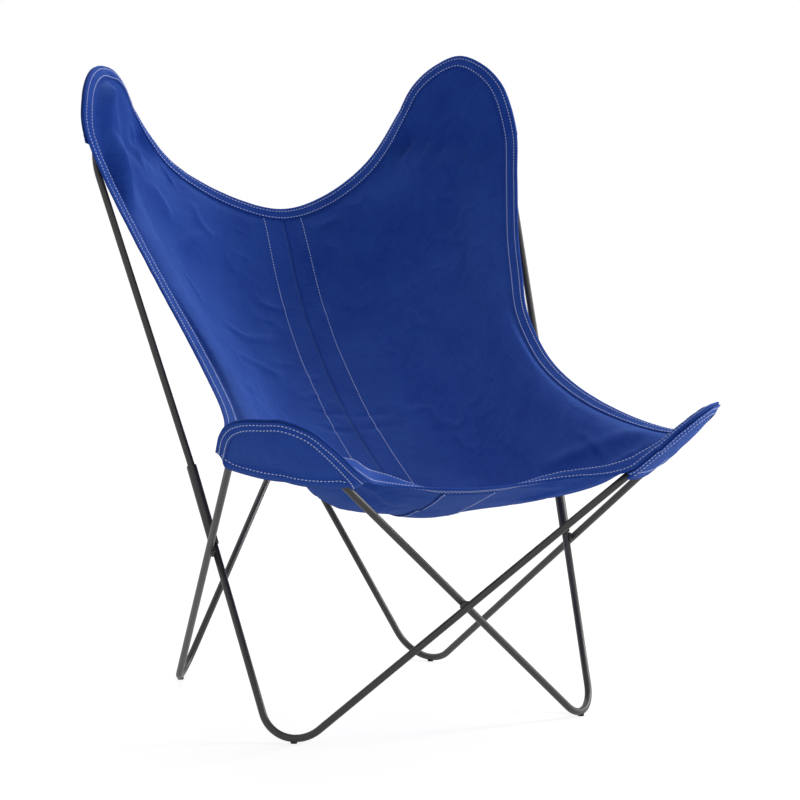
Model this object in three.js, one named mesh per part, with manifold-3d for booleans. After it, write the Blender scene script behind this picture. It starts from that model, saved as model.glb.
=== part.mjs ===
// Butterfly sling chair: two bent rod loops that carry a canvas sling on their four upper corners.
// Millimetres, +Z up. The sitter faces -Y, and the chair stands centred over the origin.
import * as THREE from 'three';
import { mergeVertices } from 'three/addons/utils/BufferGeometryUtils.js';
import Module from 'manifold-3d';

// Rod, sleeves, welds and glides
const ROD_DIAMETER = 10;
const CLEARANCE = 0.3;
const SLEEVE_WALL = 1.7;
const SLEEVE_LENGTH = 117;
const SLEEVE_CHAMFER = 0.8;
const ROD_END_GAP = 0.5;
const WELD_DIAMETER = 15;
const WELD_THICKNESS = 9;
const GLIDE_DIAMETER = 9;
const GLIDE_THICKNESS = 1.5;
const GLIDE_HEIGHT = 4;

// Work points where the straight rod runs of the frame would meet, left and right alike
const FRONT_CORNER_SPAN = 699.4;
const FRONT_CORNER_Y = -478.5;
const FRONT_CORNER_Z = 482;
const FRONT_FLOOR_SPAN = 474.4;
const FRONT_FLOOR_Y = -273;
const BACK_FLOOR_SPAN = 399;
const BACK_FLOOR_Y = 237.4;
const SIDE_JOINT_Y = -59.4;
const SIDE_JOINT_Z = 354.3;
const BOW_Z = 755;
const SIDE_BOW_SPAN = 661;
const SIDE_BOW_Y = 195.6;
const BACK_BOW_SPAN = 433.4;
const BACK_BOW_Y = 339.3;
const CROWN_SPAN = 608;
const CROWN_Y = 303;
const CROWN_Z = 1067;

// Bend radii on the rod's centre line, and where the sleeves sit on the legs
const FRONT_CORNER_RADIUS = 54;
const FRONT_FLOOR_RADIUS = 49;
const BACK_FLOOR_RADIUS = 56;
const CROWN_RADIUS = 70;
const BOW_RADIUS = 120;
const SIDE_JOINT_RADIUS = 150;
const SIDE_SLEEVE_RISE = 9;
const BACK_SLEEVE_RISE = 20;

// Canvas, edge binding, centre strip and pockets
const CANVAS = 1.2;
const BINDING_WIDTH = 19;
const STRIP_WIDTH = 70;
const CORNER_MARGIN = 20;
const POCKET_RUN = 50;
const POCKET_FLAP = 24;
const POCKET_INSET = 1.5;
const POCKET_WRAP = 14;

// Sling: centre profile from the top edge to the front edge, and points of the free edges on the right
const CENTRE_PROFILE = [
  [0, 313, 690], [0, 211, 535], [0, 79, 417], [0, -75, 329], [0, -190, 279], [0, -290, 303], [0, -382, 336],
];
const TOP_EDGE = [[75, 326, 709], [160, 338, 762]];
const SIDE_EDGE = [[326, 164, 738], [291, 70, 613], [263, -60, 487], [284, -215, 421]];
const FRONT_EDGE = [[125, -384, 344]];

// Soft folds that run from the corners into the seat, and the lie of the cloth at its edges
const FOLDS = [
  { from: [288, 274, 866], to: [218, 238, 655] },
  { from: [300, -345, 408], to: [170, -200, 332] },
];
const FOLD_HEIGHT = 5;
const FOLD_WIDTH = 16;
const FRONT_EDGE_RUN = 45;
const FRONT_EDGE_RISE = 10;
const CROSS_CURVE = 1.5;
const CORNER_SLACK = 0.4;

// Facets
const ROD_SIDES = 12;
const ROUND_SIDES = 20;
const BEND_STEP = Math.PI / 16;
const LOBE_SHARES = [0, 1 / 6, 1 / 3, 1 / 2];
const COLUMN_STEPS = [1, 3, 4, 2, 2, 2];
const ROW_STEPS = [2, 2, 2, 3, 3, 3, 3, 3, 2, 2, 2];
const POCKET_STEPS = [1, 8, 1];
const POCKET_ROWS = 4;
const SETTLE_PASSES = 60;
const RELAX_PASSES = 60;
const RELAX_RATE = 0.12;

const steel = { color: 0x1c1c1e, roughness: 0.45, metalness: 0.6 };
const canvas = { color: 0x24459a, roughness: 0.9, metalness: 0 };
const plastic = { color: 0x101011, roughness: 0.6, metalness: 0 };

const wasm = await Module();
wasm.setup();

const LEFT = -1;
const RIGHT = 1;
const SIDES = [LEFT, RIGHT];
const sideName = (side) => (side === LEFT ? 'left' : 'right');
const vector = (x, y, z) => new THREE.Vector3(x, y, z);
const between = (a, b, share) => a.clone().lerp(b, share);
const direction = (from, to) => to.clone().sub(from).normalize();

function onSide([x, y, z], side) {
  return vector(side * x, y, z);
}

// Round bend that joins the run from before to corner with the run from corner to after
function bendAt(before, corner, after, radius) {
  const toBefore = direction(corner, before);
  const toAfter = direction(corner, after);
  const halfAngle = toBefore.angleTo(toAfter) / 2;
  const inward = toBefore.clone().add(toAfter).normalize();
  const center = corner.clone().addScaledVector(inward, radius / Math.sin(halfAngle));
  const start = corner.clone().addScaledVector(toBefore, radius / Math.tan(halfAngle));
  const axis = toAfter.clone().cross(toBefore).normalize();
  const sweep = Math.PI - 2 * halfAngle;
  const radial = direction(center, start);
  const spoke = (share) => radial.clone().applyAxisAngle(axis, share * sweep);
  return { toBefore, toAfter, inward, center, axis, sweep, radius, spoke };
}

function bendPoints(bend) {
  const steps = Math.max(2, Math.ceil(bend.sweep / BEND_STEP));
  const points = [];
  for (let step = 0; step <= steps; step++) {
    points.push(bend.center.clone().addScaledVector(bend.spoke(step / steps), bend.radius));
  }
  return points;
}

function lowestOf(bend) {
  return bend.center.z - bend.radius * Math.sqrt(1 - bend.axis.z ** 2);
}

// Line of a rod: straight runs with a section at each end, and several sections in each bend
class RodLine extends THREE.Curve {
  constructor(corners, radii) {
    super();
    this.stations = [corners[0]];
    radii.forEach((radius, index) => {
      const bend = bendAt(corners[index], corners[index + 1], corners[index + 2], radius);
      this.stations.push(...bendPoints(bend));
    });
    this.stations.push(corners.at(-1));
  }

  get steps() {
    return this.stations.length - 1;
  }

  getPoint(t, target = new THREE.Vector3()) {
    const place = t * this.steps;
    const index = Math.min(Math.floor(place), this.steps - 1);
    return target.lerpVectors(this.stations[index], this.stations[index + 1], place - index);
  }

  getUtoTmapping(u) {
    return u;
  }
}

function rodGeometry(line, diameter) {
  const section = new THREE.Shape().absarc(0, 0, diameter / 2, 0, 2 * Math.PI);
  return new THREE.ExtrudeGeometry(section, {
    steps: line.steps,
    curveSegments: ROD_SIDES / 2,
    extrudePath: line,
  });
}

// Nearest points of two straight lines, each given by two points
function nearestPoints(a, b, c, d) {
  const u = direction(a, b);
  const v = direction(c, d);
  const gap = c.clone().sub(a);
  const slant = u.dot(v);
  const rest = 1 - slant * slant;
  const alongU = (gap.dot(u) - slant * gap.dot(v)) / rest;
  const alongV = (slant * gap.dot(u) - gap.dot(v)) / rest;
  return [a.clone().addScaledVector(u, alongU), c.clone().addScaledVector(v, alongV)];
}

// Frame work points of one loop: its front corner is on the given side, its crown on the other
function loopPoints(side) {
  return {
    side,
    frontCorner: vector((side * FRONT_CORNER_SPAN) / 2, FRONT_CORNER_Y, FRONT_CORNER_Z),
    frontFloor: vector((-side * FRONT_FLOOR_SPAN) / 2, FRONT_FLOOR_Y, 0),
    backFloor: vector((side * BACK_FLOOR_SPAN) / 2, BACK_FLOOR_Y, 0),
    sideJoint: vector((-side * FRONT_FLOOR_SPAN) / 2, SIDE_JOINT_Y, SIDE_JOINT_Z),
    sideBow: vector((-side * SIDE_BOW_SPAN) / 2, SIDE_BOW_Y, BOW_Z),
    backBow: vector((-side * BACK_BOW_SPAN) / 2, BACK_BOW_Y, BOW_Z),
    crown: vector((-side * CROWN_SPAN) / 2, CROWN_Y, CROWN_Z),
  };
}

// Half the distance along Y that keeps two crossing rods one clearance apart
function layerShift(from, to) {
  const run = to.clone().sub(from);
  return ((ROD_DIAMETER + CLEARANCE) / 2) * (Math.hypot(run.y, run.z) / Math.abs(run.z));
}

function frontFloorBend(loop) {
  return bendAt(loop.sideJoint, loop.frontFloor, loop.frontCorner, FRONT_FLOOR_RADIUS);
}

function backFloorBend(loop) {
  return bendAt(loop.frontCorner, loop.backFloor, loop.backBow, BACK_FLOOR_RADIUS);
}

function moveLoop(loop, frontShift, backShift) {
  loop.frontCorner.y = FRONT_CORNER_Y - loop.side * frontShift;
  loop.frontFloor.y = FRONT_FLOOR_Y - loop.side * frontShift;
  loop.backFloor.y = BACK_FLOOR_Y - loop.side * backShift;
  loop.sideJoint.y = SIDE_JOINT_Y - loop.side * backShift;
  loop.sideBow.y = SIDE_BOW_Y - loop.side * backShift;
  loop.backBow.y = BACK_BOW_Y - loop.side * backShift;
  loop.crown.y = CROWN_Y - loop.side * backShift;
}

// Stands both loops on their glides, with every crossing one clearance apart
function settleLoops() {
  const loops = SIDES.map(loopPoints);
  const floorLine = GLIDE_THICKNESS + ROD_DIAMETER / 2;
  for (let pass = 0; pass < SETTLE_PASSES; pass++) {
    loops.forEach((loop) => {
      const frontShift = layerShift(loop.frontCorner, loop.frontFloor);
      const backShift = layerShift(loop.backFloor, loop.backBow);
      moveLoop(loop, frontShift, backShift);
      loop.frontFloor.z += floorLine - lowestOf(frontFloorBend(loop));
      loop.backFloor.z += floorLine - lowestOf(backFloorBend(loop));
    });
    loops.forEach((loop, index) => {
      const other = loops[1 - index];
      const [inner, outer] = nearestPoints(
        loop.frontFloor, loop.sideJoint, other.frontCorner, other.backFloor,
      );
      const outward = Math.sign((inner.x - outer.x) * loop.side);
      const distance = outward * inner.distanceTo(outer);
      loop.sideJoint.x += loop.side * (ROD_DIAMETER + CLEARANCE - distance);
    });
  }
  return loops;
}

// Middles of the two sleeves of a loop, each a little above the crossing with the other loop
function sleevePlaces(loop) {
  const other = loops.find((each) => each !== loop);
  const sideUp = direction(loop.frontFloor, loop.sideJoint);
  const backUp = direction(loop.backFloor, loop.backBow);
  const [sideCrossing] = nearestPoints(
    loop.frontFloor, loop.sideJoint, other.frontCorner, other.backFloor,
  );
  const [backCrossing] = nearestPoints(
    loop.backFloor, loop.backBow, other.backFloor, other.backBow,
  );
  return {
    sideMiddle: sideCrossing.addScaledVector(sideUp, SIDE_SLEEVE_RISE + SLEEVE_LENGTH / 2),
    sideUp,
    backMiddle: backCrossing.addScaledVector(backUp, BACK_SLEEVE_RISE + SLEEVE_LENGTH / 2),
    backUp,
  };
}

function baseRodLine(loop) {
  const { sideMiddle, sideUp, backMiddle, backUp } = sleevePlaces(loop);
  const corners = [
    sideMiddle.addScaledVector(sideUp, -ROD_END_GAP / 2),
    loop.frontFloor,
    loop.frontCorner,
    loop.backFloor,
    backMiddle.addScaledVector(backUp, -ROD_END_GAP / 2),
  ];
  return new RodLine(corners, [FRONT_FLOOR_RADIUS, FRONT_CORNER_RADIUS, BACK_FLOOR_RADIUS]);
}

function uprightLine(loop) {
  const { sideMiddle, sideUp, backMiddle, backUp } = sleevePlaces(loop);
  const corners = [
    sideMiddle.addScaledVector(sideUp, ROD_END_GAP / 2),
    loop.sideJoint,
    loop.sideBow,
    loop.crown,
    loop.backBow,
    backMiddle.addScaledVector(backUp, ROD_END_GAP / 2),
  ];
  return new RodLine(corners, [SIDE_JOINT_RADIUS, BOW_RADIUS, CROWN_RADIUS, BOW_RADIUS]);
}

function sleeveGeometry() {
  const bore = ROD_DIAMETER / 2 + CLEARANCE;
  const outside = bore + SLEEVE_WALL;
  const half = SLEEVE_LENGTH / 2;
  const profile = [
    new THREE.Vector2(bore, -half),
    new THREE.Vector2(outside - SLEEVE_CHAMFER, -half),
    new THREE.Vector2(outside, -half + SLEEVE_CHAMFER),
    new THREE.Vector2(outside, half - SLEEVE_CHAMFER),
    new THREE.Vector2(outside - SLEEVE_CHAMFER, half),
    new THREE.Vector2(bore, half),
    new THREE.Vector2(bore, -half),
  ];
  return new THREE.LatheGeometry(profile, ROUND_SIDES);
}

function makeMesh(name, geometry, finish) {
  const mesh = new THREE.Mesh(geometry, new THREE.MeshStandardMaterial(finish));
  mesh.name = name;
  return mesh;
}

// Turns an object so that its own Y axis runs along the given direction
function alignY(object, along) {
  object.quaternion.setFromUnitVectors(vector(0, 1, 0), along);
  return object;
}

function sleeveMesh(name, middle, along) {
  const mesh = alignY(makeMesh(name, sleeveGeometry(), steel), along);
  mesh.position.copy(middle);
  return mesh;
}

function toSolid(geometry) {
  const bare = new THREE.BufferGeometry();
  bare.setAttribute('position', geometry.getAttribute('position').clone());
  bare.setIndex(geometry.index);
  const merged = mergeVertices(bare);
  return new wasm.Manifold(new wasm.Mesh({
    numProp: 3,
    vertProperties: Float32Array.from(merged.getAttribute('position').array),
    triVerts: Uint32Array.from(merged.index.array),
  }));
}

function toGeometry(solid) {
  const mesh = solid.getMesh();
  const geometry = new THREE.BufferGeometry();
  geometry.setAttribute('position', new THREE.BufferAttribute(mesh.vertProperties, mesh.numProp));
  geometry.setIndex(new THREE.BufferAttribute(mesh.triVerts, 1));
  geometry.computeVertexNormals();
  return geometry;
}

function placed(geometry, position, quaternion) {
  const place = new THREE.Matrix4().compose(position, quaternion, vector(1, 1, 1));
  return geometry.clone().applyMatrix4(place);
}

// Bead in the crook of two crossing rods, cut to sit on both
function weldMesh(name, lineA, lineB) {
  const [onA, onB] = nearestPoints(...lineA, ...lineB);
  const middle = between(onA, onB, 0.5);
  const turn = new THREE.Quaternion().setFromUnitVectors(vector(0, 1, 0), direction(onA, onB));
  const bead = new THREE.SphereGeometry(WELD_DIAMETER / 2, ROUND_SIDES, ROUND_SIDES / 2);
  bead.scale(1, WELD_THICKNESS / WELD_DIAMETER, 1);
  const cutter = new THREE.CylinderGeometry(
    ROD_DIAMETER / 2 + CLEARANCE, ROD_DIAMETER / 2 + CLEARANCE, 2 * WELD_DIAMETER, ROUND_SIDES,
  );
  const rods = [[onA, lineA], [onB, lineB]].map(([point, line]) => {
    const along = new THREE.Quaternion().setFromUnitVectors(vector(0, 1, 0), direction(...line));
    return toSolid(placed(cutter, point, along));
  });
  const solid = toSolid(placed(bead, middle, turn)).subtract(rods[0]).subtract(rods[1]);
  return makeMesh(name, toGeometry(solid), steel);
}

// Flat-bottomed saddle under the lowest point of a floor bend
function glideMesh(name, bend, rodLine) {
  const down = vector(0, 0, -1);
  const steepest = down.addScaledVector(bend.axis, -down.dot(bend.axis)).normalize();
  const lowest = bend.center.clone().addScaledVector(steepest, bend.radius);
  const disc = new THREE.CylinderGeometry(
    GLIDE_DIAMETER / 2, GLIDE_DIAMETER / 2, GLIDE_HEIGHT, ROUND_SIDES,
  );
  disc.rotateX(Math.PI / 2);
  disc.translate(lowest.x, lowest.y, GLIDE_HEIGHT / 2);
  const seat = toSolid(rodGeometry(rodLine, ROD_DIAMETER + 2 * CLEARANCE));
  return makeMesh(name, toGeometry(toSolid(disc).subtract(seat)), plastic);
}

// Corner of the sling round a rod bend, measured from the bend: start leg to end leg is share 0 to 1
function lobeAt(bend, sitterSide) {
  const facing = Math.sign(bend.axis.dot(sitterSide));
  const normal = bend.axis.clone().multiplyScalar(facing);
  const lift = ROD_DIAMETER / 2 + CLEARANCE + CANVAS / 2 + CORNER_SLACK;
  const seam = (CANVAS + CLEARANCE) / 2;
  const rim = (share, inset) => bend.center.clone()
    .addScaledVector(bend.spoke(share), bend.radius + CORNER_MARGIN - inset)
    .addScaledVector(normal, THREE.MathUtils.mapLinear(inset, 0, BINDING_WIDTH, seam, lift));
  const depth = (point) => point.clone().sub(bend.center).dot(bend.inward);
  const height = (point) => point.clone().sub(bend.center).dot(normal);
  const spread = (point) => {
    const rest = point.clone().sub(bend.center);
    return Math.max(rest.dot(bend.spoke(0)), rest.dot(bend.spoke(1)));
  };
  const mouth = rim(0, 0).addScaledVector(bend.toBefore, POCKET_RUN + POCKET_FLAP);
  const covers = (point) => (
    depth(point) < depth(mouth) && spread(point) < bend.radius + CORNER_MARGIN
  );
  return { ...bend, normal, lift, seam, rim, height, covers };
}

function frontLobe(side) {
  const loop = loops.find((each) => each.side === side);
  const bend = bendAt(loop.frontFloor, loop.frontCorner, loop.backFloor, FRONT_CORNER_RADIUS);
  return lobeAt(bend, vector(0, 0, 1));
}

function backLobe(side) {
  const loop = loops.find((each) => each.side === -side);
  const bend = bendAt(loop.backBow, loop.crown, loop.sideBow, CROWN_RADIUS);
  return lobeAt(bend, vector(0, -1, 0));
}

const centreCurve = new THREE.CatmullRomCurve3(CENTRE_PROFILE.map((point) => vector(...point)));

// Centre line of the sling, from share 0 at the top edge to 1 at the front edge
function centrePoint(share, inset) {
  const length = centreCurve.getLength();
  return centreCurve.getPointAt((inset + share * (length - 2 * inset)) / length);
}

// Spline through edge points, read by point number; the first and last points only steer it
function edgeSpline(points) {
  const curve = new THREE.CatmullRomCurve3(points);
  return (place) => curve.getPoint((place + 1) / (points.length - 1));
}

function mirrored(point) {
  return vector(-point.x, point.y, point.z);
}

// Three edges of half the sling, moved in from the cut edge by inset along the slopes of the cloth
function slingEdges(side, inset, slopes) {
  const back = backLobe(side);
  const front = frontLobe(side);
  const freePoints = (edge, slope) => edge.map((point, index) => {
    const place = onSide(point, side);
    return inset > 0 ? place.addScaledVector(slope[index], inset) : place;
  });
  const topPoints = freePoints(TOP_EDGE, slopes?.top);
  const sidePoints = freePoints(SIDE_EDGE, slopes?.side);
  const frontPoints = freePoints(FRONT_EDGE, slopes?.front);
  const frontRun = front.rim(0, inset)
    .addScaledVector(front.toBefore, FRONT_EDGE_RUN)
    .addScaledVector(front.normal, FRONT_EDGE_RISE);
  const backInner = LOBE_SHARES.map((share) => back.rim(share, inset));
  const backOuter = LOBE_SHARES.map((share) => back.rim(1 - share, inset));
  const frontInner = LOBE_SHARES.map((share) => front.rim(share, inset));
  const frontOuter = LOBE_SHARES.map((share) => front.rim(1 - share, inset));
  const topCentre = centrePoint(0, inset);
  const frontCentre = centrePoint(1, inset);
  return {
    top: edgeSpline([mirrored(topPoints[0]), topCentre, ...topPoints, ...backInner, backOuter[2]]),
    front: edgeSpline([
      mirrored(frontPoints[0]), frontCentre, ...frontPoints, frontRun, ...frontInner, frontOuter[2],
    ]),
    side: edgeSpline([
      backInner[2], ...backOuter.toReversed(), ...sidePoints, ...frontOuter, frontInner[2],
    ]),
  };
}

// Stations along the edges, in spline point numbers, with the given number of steps in each stretch
function stations(steps) {
  const places = [0];
  steps.forEach((count, stretch) => {
    for (let step = 1; step <= count; step++) {
      places.push(stretch + step / count);
    }
  });
  return places;
}

const stripPlace = STRIP_WIDTH / 2 / TOP_EDGE[0][0];
const COLUMNS = [0, stripPlace, ...stations(COLUMN_STEPS).slice(1)];
const ROWS = stations(ROW_STEPS);

function lengthShares(points) {
  const lengths = [0];
  for (let index = 1; index < points.length; index++) {
    lengths.push(lengths[index - 1] + points[index].distanceTo(points[index - 1]));
  }
  return lengths.map((length) => length / lengths.at(-1));
}

// Patch spanned by the centre line and three edges, as rows of points, level across the centre line
function spanPatch(edges, inset) {
  const top = COLUMNS.map(edges.top);
  const front = COLUMNS.map(edges.front);
  const outer = ROWS.map(edges.side);
  const topShares = lengthShares(top);
  const frontShares = lengthShares(front);
  const down = lengthShares(outer);
  const corners = [top[0], top.at(-1), front[0], front.at(-1)];
  return ROWS.map((_, row) => COLUMNS.map((__, column) => {
    const v = down[row];
    const u = (topShares[column] * (1 - v) + frontShares[column] * v) ** CROSS_CURVE;
    const point = vector(0, 0, 0);
    point.addScaledVector(top[column], 1 - v).addScaledVector(front[column], v);
    point.addScaledVector(centrePoint(v, inset), 1 - u).addScaledVector(outer[row], u);
    point.addScaledVector(corners[0], -(1 - u) * (1 - v)).addScaledVector(corners[1], -u * (1 - v));
    point.addScaledVector(corners[2], -(1 - u) * v).addScaledVector(corners[3], -u * v);
    return point;
  }));
}

// Slope of the cloth across an edge: from its point into the cloth, square to the edge
function slopeInto(line, along) {
  const reach = line.find((point) => point.distanceTo(line[0]) > 2 * BINDING_WIDTH);
  const slope = reach.clone().sub(line[0]);
  return slope.addScaledVector(along, -slope.dot(along)).normalize();
}

function edgeSlopes(patch) {
  const columnLine = (column) => patch.map((row) => row[column]);
  const alongRow = (row, column) => direction(row[column - 1], row[column + 1]);
  const top = TOP_EDGE.map((_, index) => {
    const column = COLUMNS.indexOf(index + 1);
    return slopeInto(columnLine(column), alongRow(patch[0], column));
  });
  const front = FRONT_EDGE.map((_, index) => {
    const column = COLUMNS.indexOf(index + 1);
    return slopeInto(columnLine(column).toReversed(), alongRow(patch.at(-1), column));
  });
  const side = SIDE_EDGE.map((_, index) => {
    const row = ROWS.indexOf(index + LOBE_SHARES.length);
    const along = direction(patch[row - 1].at(-1), patch[row + 1].at(-1));
    return slopeInto(patch[row].toReversed(), along);
  });
  return { top, front, side };
}

// Lays the patch flat over the pockets, and returns which points stay where they are
function holdCorners(patch, side) {
  const lobes = [backLobe(side), frontLobe(side)];
  return patch.map((points, row) => points.map((point, column) => {
    const edge = row === 0 || row === patch.length - 1 || column === 0 || column === points.length - 1;
    const lobe = lobes.find((each) => each.covers(point));
    if (lobe) {
      const rise = lobe.lift - lobe.height(point);
      point.addScaledVector(lobe.normal, edge ? Math.max(rise, 0) : rise);
    }
    return edge || lobe !== undefined;
  }));
}

// Keeps the points of a cut edge on the sitter's side of the corner seams
function clearCorners(line, side) {
  const lobes = [backLobe(side), frontLobe(side)];
  line.forEach((point) => lobes.filter((lobe) => lobe.covers(point)).forEach((lobe) => {
    point.addScaledVector(lobe.normal, Math.max(lobe.seam - lobe.height(point), 0));
  }));
  return line;
}

// Evens out the bending of the free points of a patch, which keep their distance from the centre plane
function relaxPatch(patch, held) {
  const at = (grid, row, column) => (column < 0 ? mirrored(grid[row][-column]) : grid[row][column]);
  const lag = (grid, row, column) => {
    if (row === 0 || row === grid.length - 1 || column === grid[0].length - 1) {
      return vector(0, 0, 0);
    }
    const sum = at(grid, row - 1, column).clone();
    sum.add(at(grid, row + 1, column)).add(at(grid, row, column - 1)).add(at(grid, row, column + 1));
    return sum.divideScalar(4).sub(grid[row][column]);
  };
  for (let pass = 0; pass < RELAX_PASSES; pass++) {
    const lags = patch.map((points, row) => points.map((_, column) => lag(patch, row, column)));
    patch.forEach((points, row) => points.forEach((point, column) => {
      if (!held[row][column]) {
        point.addScaledVector(lag(lags, row, column).setX(0), -RELAX_RATE);
      }
    }));
  }
}

// Raises the soft folds on the sitter's side
function raiseFolds(patch, side) {
  const overSeat = vector(0, centrePoint(1, 0).y, centrePoint(0, 0).z);
  const sitterSide = direction(centrePoint(1 / 2, 0), overSeat);
  const lines = FOLDS.map((fold) => new THREE.Line3(onSide(fold.from, side), onSide(fold.to, side)));
  patch.slice(1, -1).forEach((row) => row.slice(1, -1).forEach((point) => lines.forEach((line) => {
    const share = line.closestPointToPointParameter(point, true);
    const away = line.at(share, vector(0, 0, 0)).distanceTo(point);
    const height = FOLD_HEIGHT * Math.sin(Math.PI * share) * Math.exp(-((away / FOLD_WIDTH) ** 2));
    point.addScaledVector(sitterSide, height);
  })));
}

// Middle surface of the sling: named cells of point numbers over both halves and the seam between them
function slingSurface() {
  const points = [];
  const cells = { left: [], right: [], binding: [], strip: [] };
  const add = (point) => points.push(point) - 1;
  const seam = {};
  SIDES.forEach((side) => {
    const name = sideName(side);
    const edges = slingEdges(side, 0);
    const slopes = edgeSlopes(spanPatch(edges, 0));
    const patch = spanPatch(slingEdges(side, BINDING_WIDTH, slopes), BINDING_WIDTH);
    relaxPatch(patch, holdCorners(patch, side));
    raiseFolds(patch, side);
    patch.forEach((row) => {
      row[1].x = (side * STRIP_WIDTH) / 2;
      row[0].x = (side * CLEARANCE) / 2;
    });
    const inner = patch.map((row) => row.map(add));
    const top = clearCorners(COLUMNS.map(edges.top), side).map(add);
    const front = clearCorners(COLUMNS.map(edges.front), side).map(add);
    const outer = clearCorners(ROWS.map(edges.side), side).map(add);
    outer[0] = top.at(-1);
    outer[outer.length - 1] = front.at(-1);
    [top, front].forEach((line) => {
      points[line[0]].x = (side * CLEARANCE) / 2;
      points[line[1]].x = (side * STRIP_WIDTH) / 2;
    });
    const facing = ([a, b, c, d]) => (side === RIGHT ? [b, c, d, a] : [d, c, b, a]);
    const grid = [top, ...inner, front];
    grid.slice(1).forEach((row, index) => row.slice(1).forEach((corner, column) => {
      const above = grid[index];
      const cell = facing([above[column], row[column], corner, above[column + 1]]);
      cells[name].push(cell);
      if (index === 0 || index === grid.length - 2) {
        cells.binding.push(cell);
      }
      if (column === 0) {
        cells.strip.push(cell);
      }
    }));
    outer.slice(1).forEach((corner, row) => {
      const cell = facing([inner[row].at(-1), inner[row + 1].at(-1), corner, outer[row]]);
      cells[name].push(cell);
      cells.binding.push(cell);
    });
    seam[name] = grid.map((row) => row[0]);
  });
  seam.left.slice(1).forEach((corner, row) => {
    const cell = [seam.left[row], corner, seam.right[row + 1], seam.right[row]];
    cells.strip.push(cell);
    if (row === 0 || row === seam.left.length - 2) {
      cells.binding.push(cell);
    }
  });
  return { points, cells };
}

function surfaceNormals(points, cells) {
  const normals = points.map(() => vector(0, 0, 0));
  cells.forEach((cell) => {
    const [a, b, c, d] = cell.map((number) => points[number]);
    const facing = c.clone().sub(a).cross(d.clone().sub(b)).normalize();
    cell.forEach((number) => normals[number].add(facing));
  });
  return normals.map((normal) => normal.normalize());
}

// Closed sheet of even thickness over some cells of a surface, lifted off it along its normals
function sheetGeometry(points, normals, cells, lift, thickness) {
  const positions = [];
  const numbers = new Map();
  cells.flat().forEach((number) => {
    if (!numbers.has(number)) {
      numbers.set(number, positions.length / 3);
      [lift + thickness / 2, lift - thickness / 2].forEach((height) => {
        positions.push(...points[number].clone().addScaledVector(normals[number], height));
      });
    }
  });
  const over = (number) => numbers.get(number);
  const under = (number) => numbers.get(number) + 1;
  const triangles = [];
  const addQuad = (a, b, c, d) => triangles.push(a, b, c, a, c, d);
  const rims = new Map();
  cells.forEach((cell) => {
    const [a, b, c, d] = cell;
    addQuad(over(a), over(b), over(c), over(d));
    addQuad(under(a), under(d), under(c), under(b));
    cell.forEach((from, index) => {
      const to = cell[(index + 1) % cell.length];
      if (!rims.delete(`${to} ${from}`)) {
        rims.set(`${from} ${to}`, [from, to]);
      }
    });
  });
  rims.forEach(([from, to]) => addQuad(over(to), over(from), under(from), under(to)));
  const geometry = new THREE.BufferGeometry();
  geometry.setAttribute('position', new THREE.Float32BufferAttribute(positions, 3));
  geometry.setIndex(triangles);
  geometry.computeVertexNormals();
  return geometry;
}

// Outer skin of a corner pocket: sewn under the lobe's edge, then round the rod, and open at its mouth
function pocketGeometry(lobe) {
  const shares = stations(POCKET_STEPS);
  const radius = lobe.radius + CORNER_MARGIN - POCKET_INSET;
  const legs = [lobe.toBefore, lobe.toAfter];
  const edgePoint = (place) => {
    const share = THREE.MathUtils.clamp(place - 1, 0, 1);
    const run = POCKET_RUN * Math.max(1 - place, place - 2, 0);
    const point = lobe.center.clone().addScaledVector(lobe.spoke(share), radius);
    return point.addScaledVector(legs[Math.round(share)], run);
  };
  const last = shares.at(-1);
  const ends = [0, last].map((place, leg) => edgePoint(place).addScaledVector(legs[leg], POCKET_FLAP));
  const wraps = [0, POCKET_WRAP / 2, POCKET_WRAP];
  const rows = wraps.length + POCKET_ROWS;
  const points = [];
  shares.forEach((place) => {
    const edge = edgePoint(place);
    const mouth = between(ends[0], ends[1], place / last);
    const length = edge.distanceTo(mouth);
    const toMouth = direction(edge, mouth);
    wraps.forEach((wrap, index) => {
      const height = THREE.MathUtils.mapLinear(index, 0, wraps.length - 1, -lobe.seam, -lobe.lift);
      points.push(edge.clone().addScaledVector(toMouth, wrap).addScaledVector(lobe.normal, height));
    });
    for (let row = 1; row <= POCKET_ROWS; row++) {
      const along = THREE.MathUtils.mapLinear(row, 0, POCKET_ROWS, POCKET_WRAP, length);
      points.push(edge.clone().addScaledVector(toMouth, along).addScaledVector(lobe.normal, -lobe.lift));
    }
  });
  const cells = [];
  for (let column = 0; column < shares.length - 1; column++) {
    for (let row = 0; row < rows - 1; row++) {
      const a = column * rows + row;
      cells.push([a, a + 1, a + 1 + rows, a + rows]);
    }
  }
  const facing = surfaceNormals(points, cells).reduce((sum, normal) => sum + normal.dot(lobe.normal), 0);
  const turned = facing > 0 ? cells : cells.map((cell) => cell.toReversed());
  return sheetGeometry(points, surfaceNormals(points, turned), turned, 0, CANVAS);
}

const loops = settleLoops();
const chair = new THREE.Group();

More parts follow.
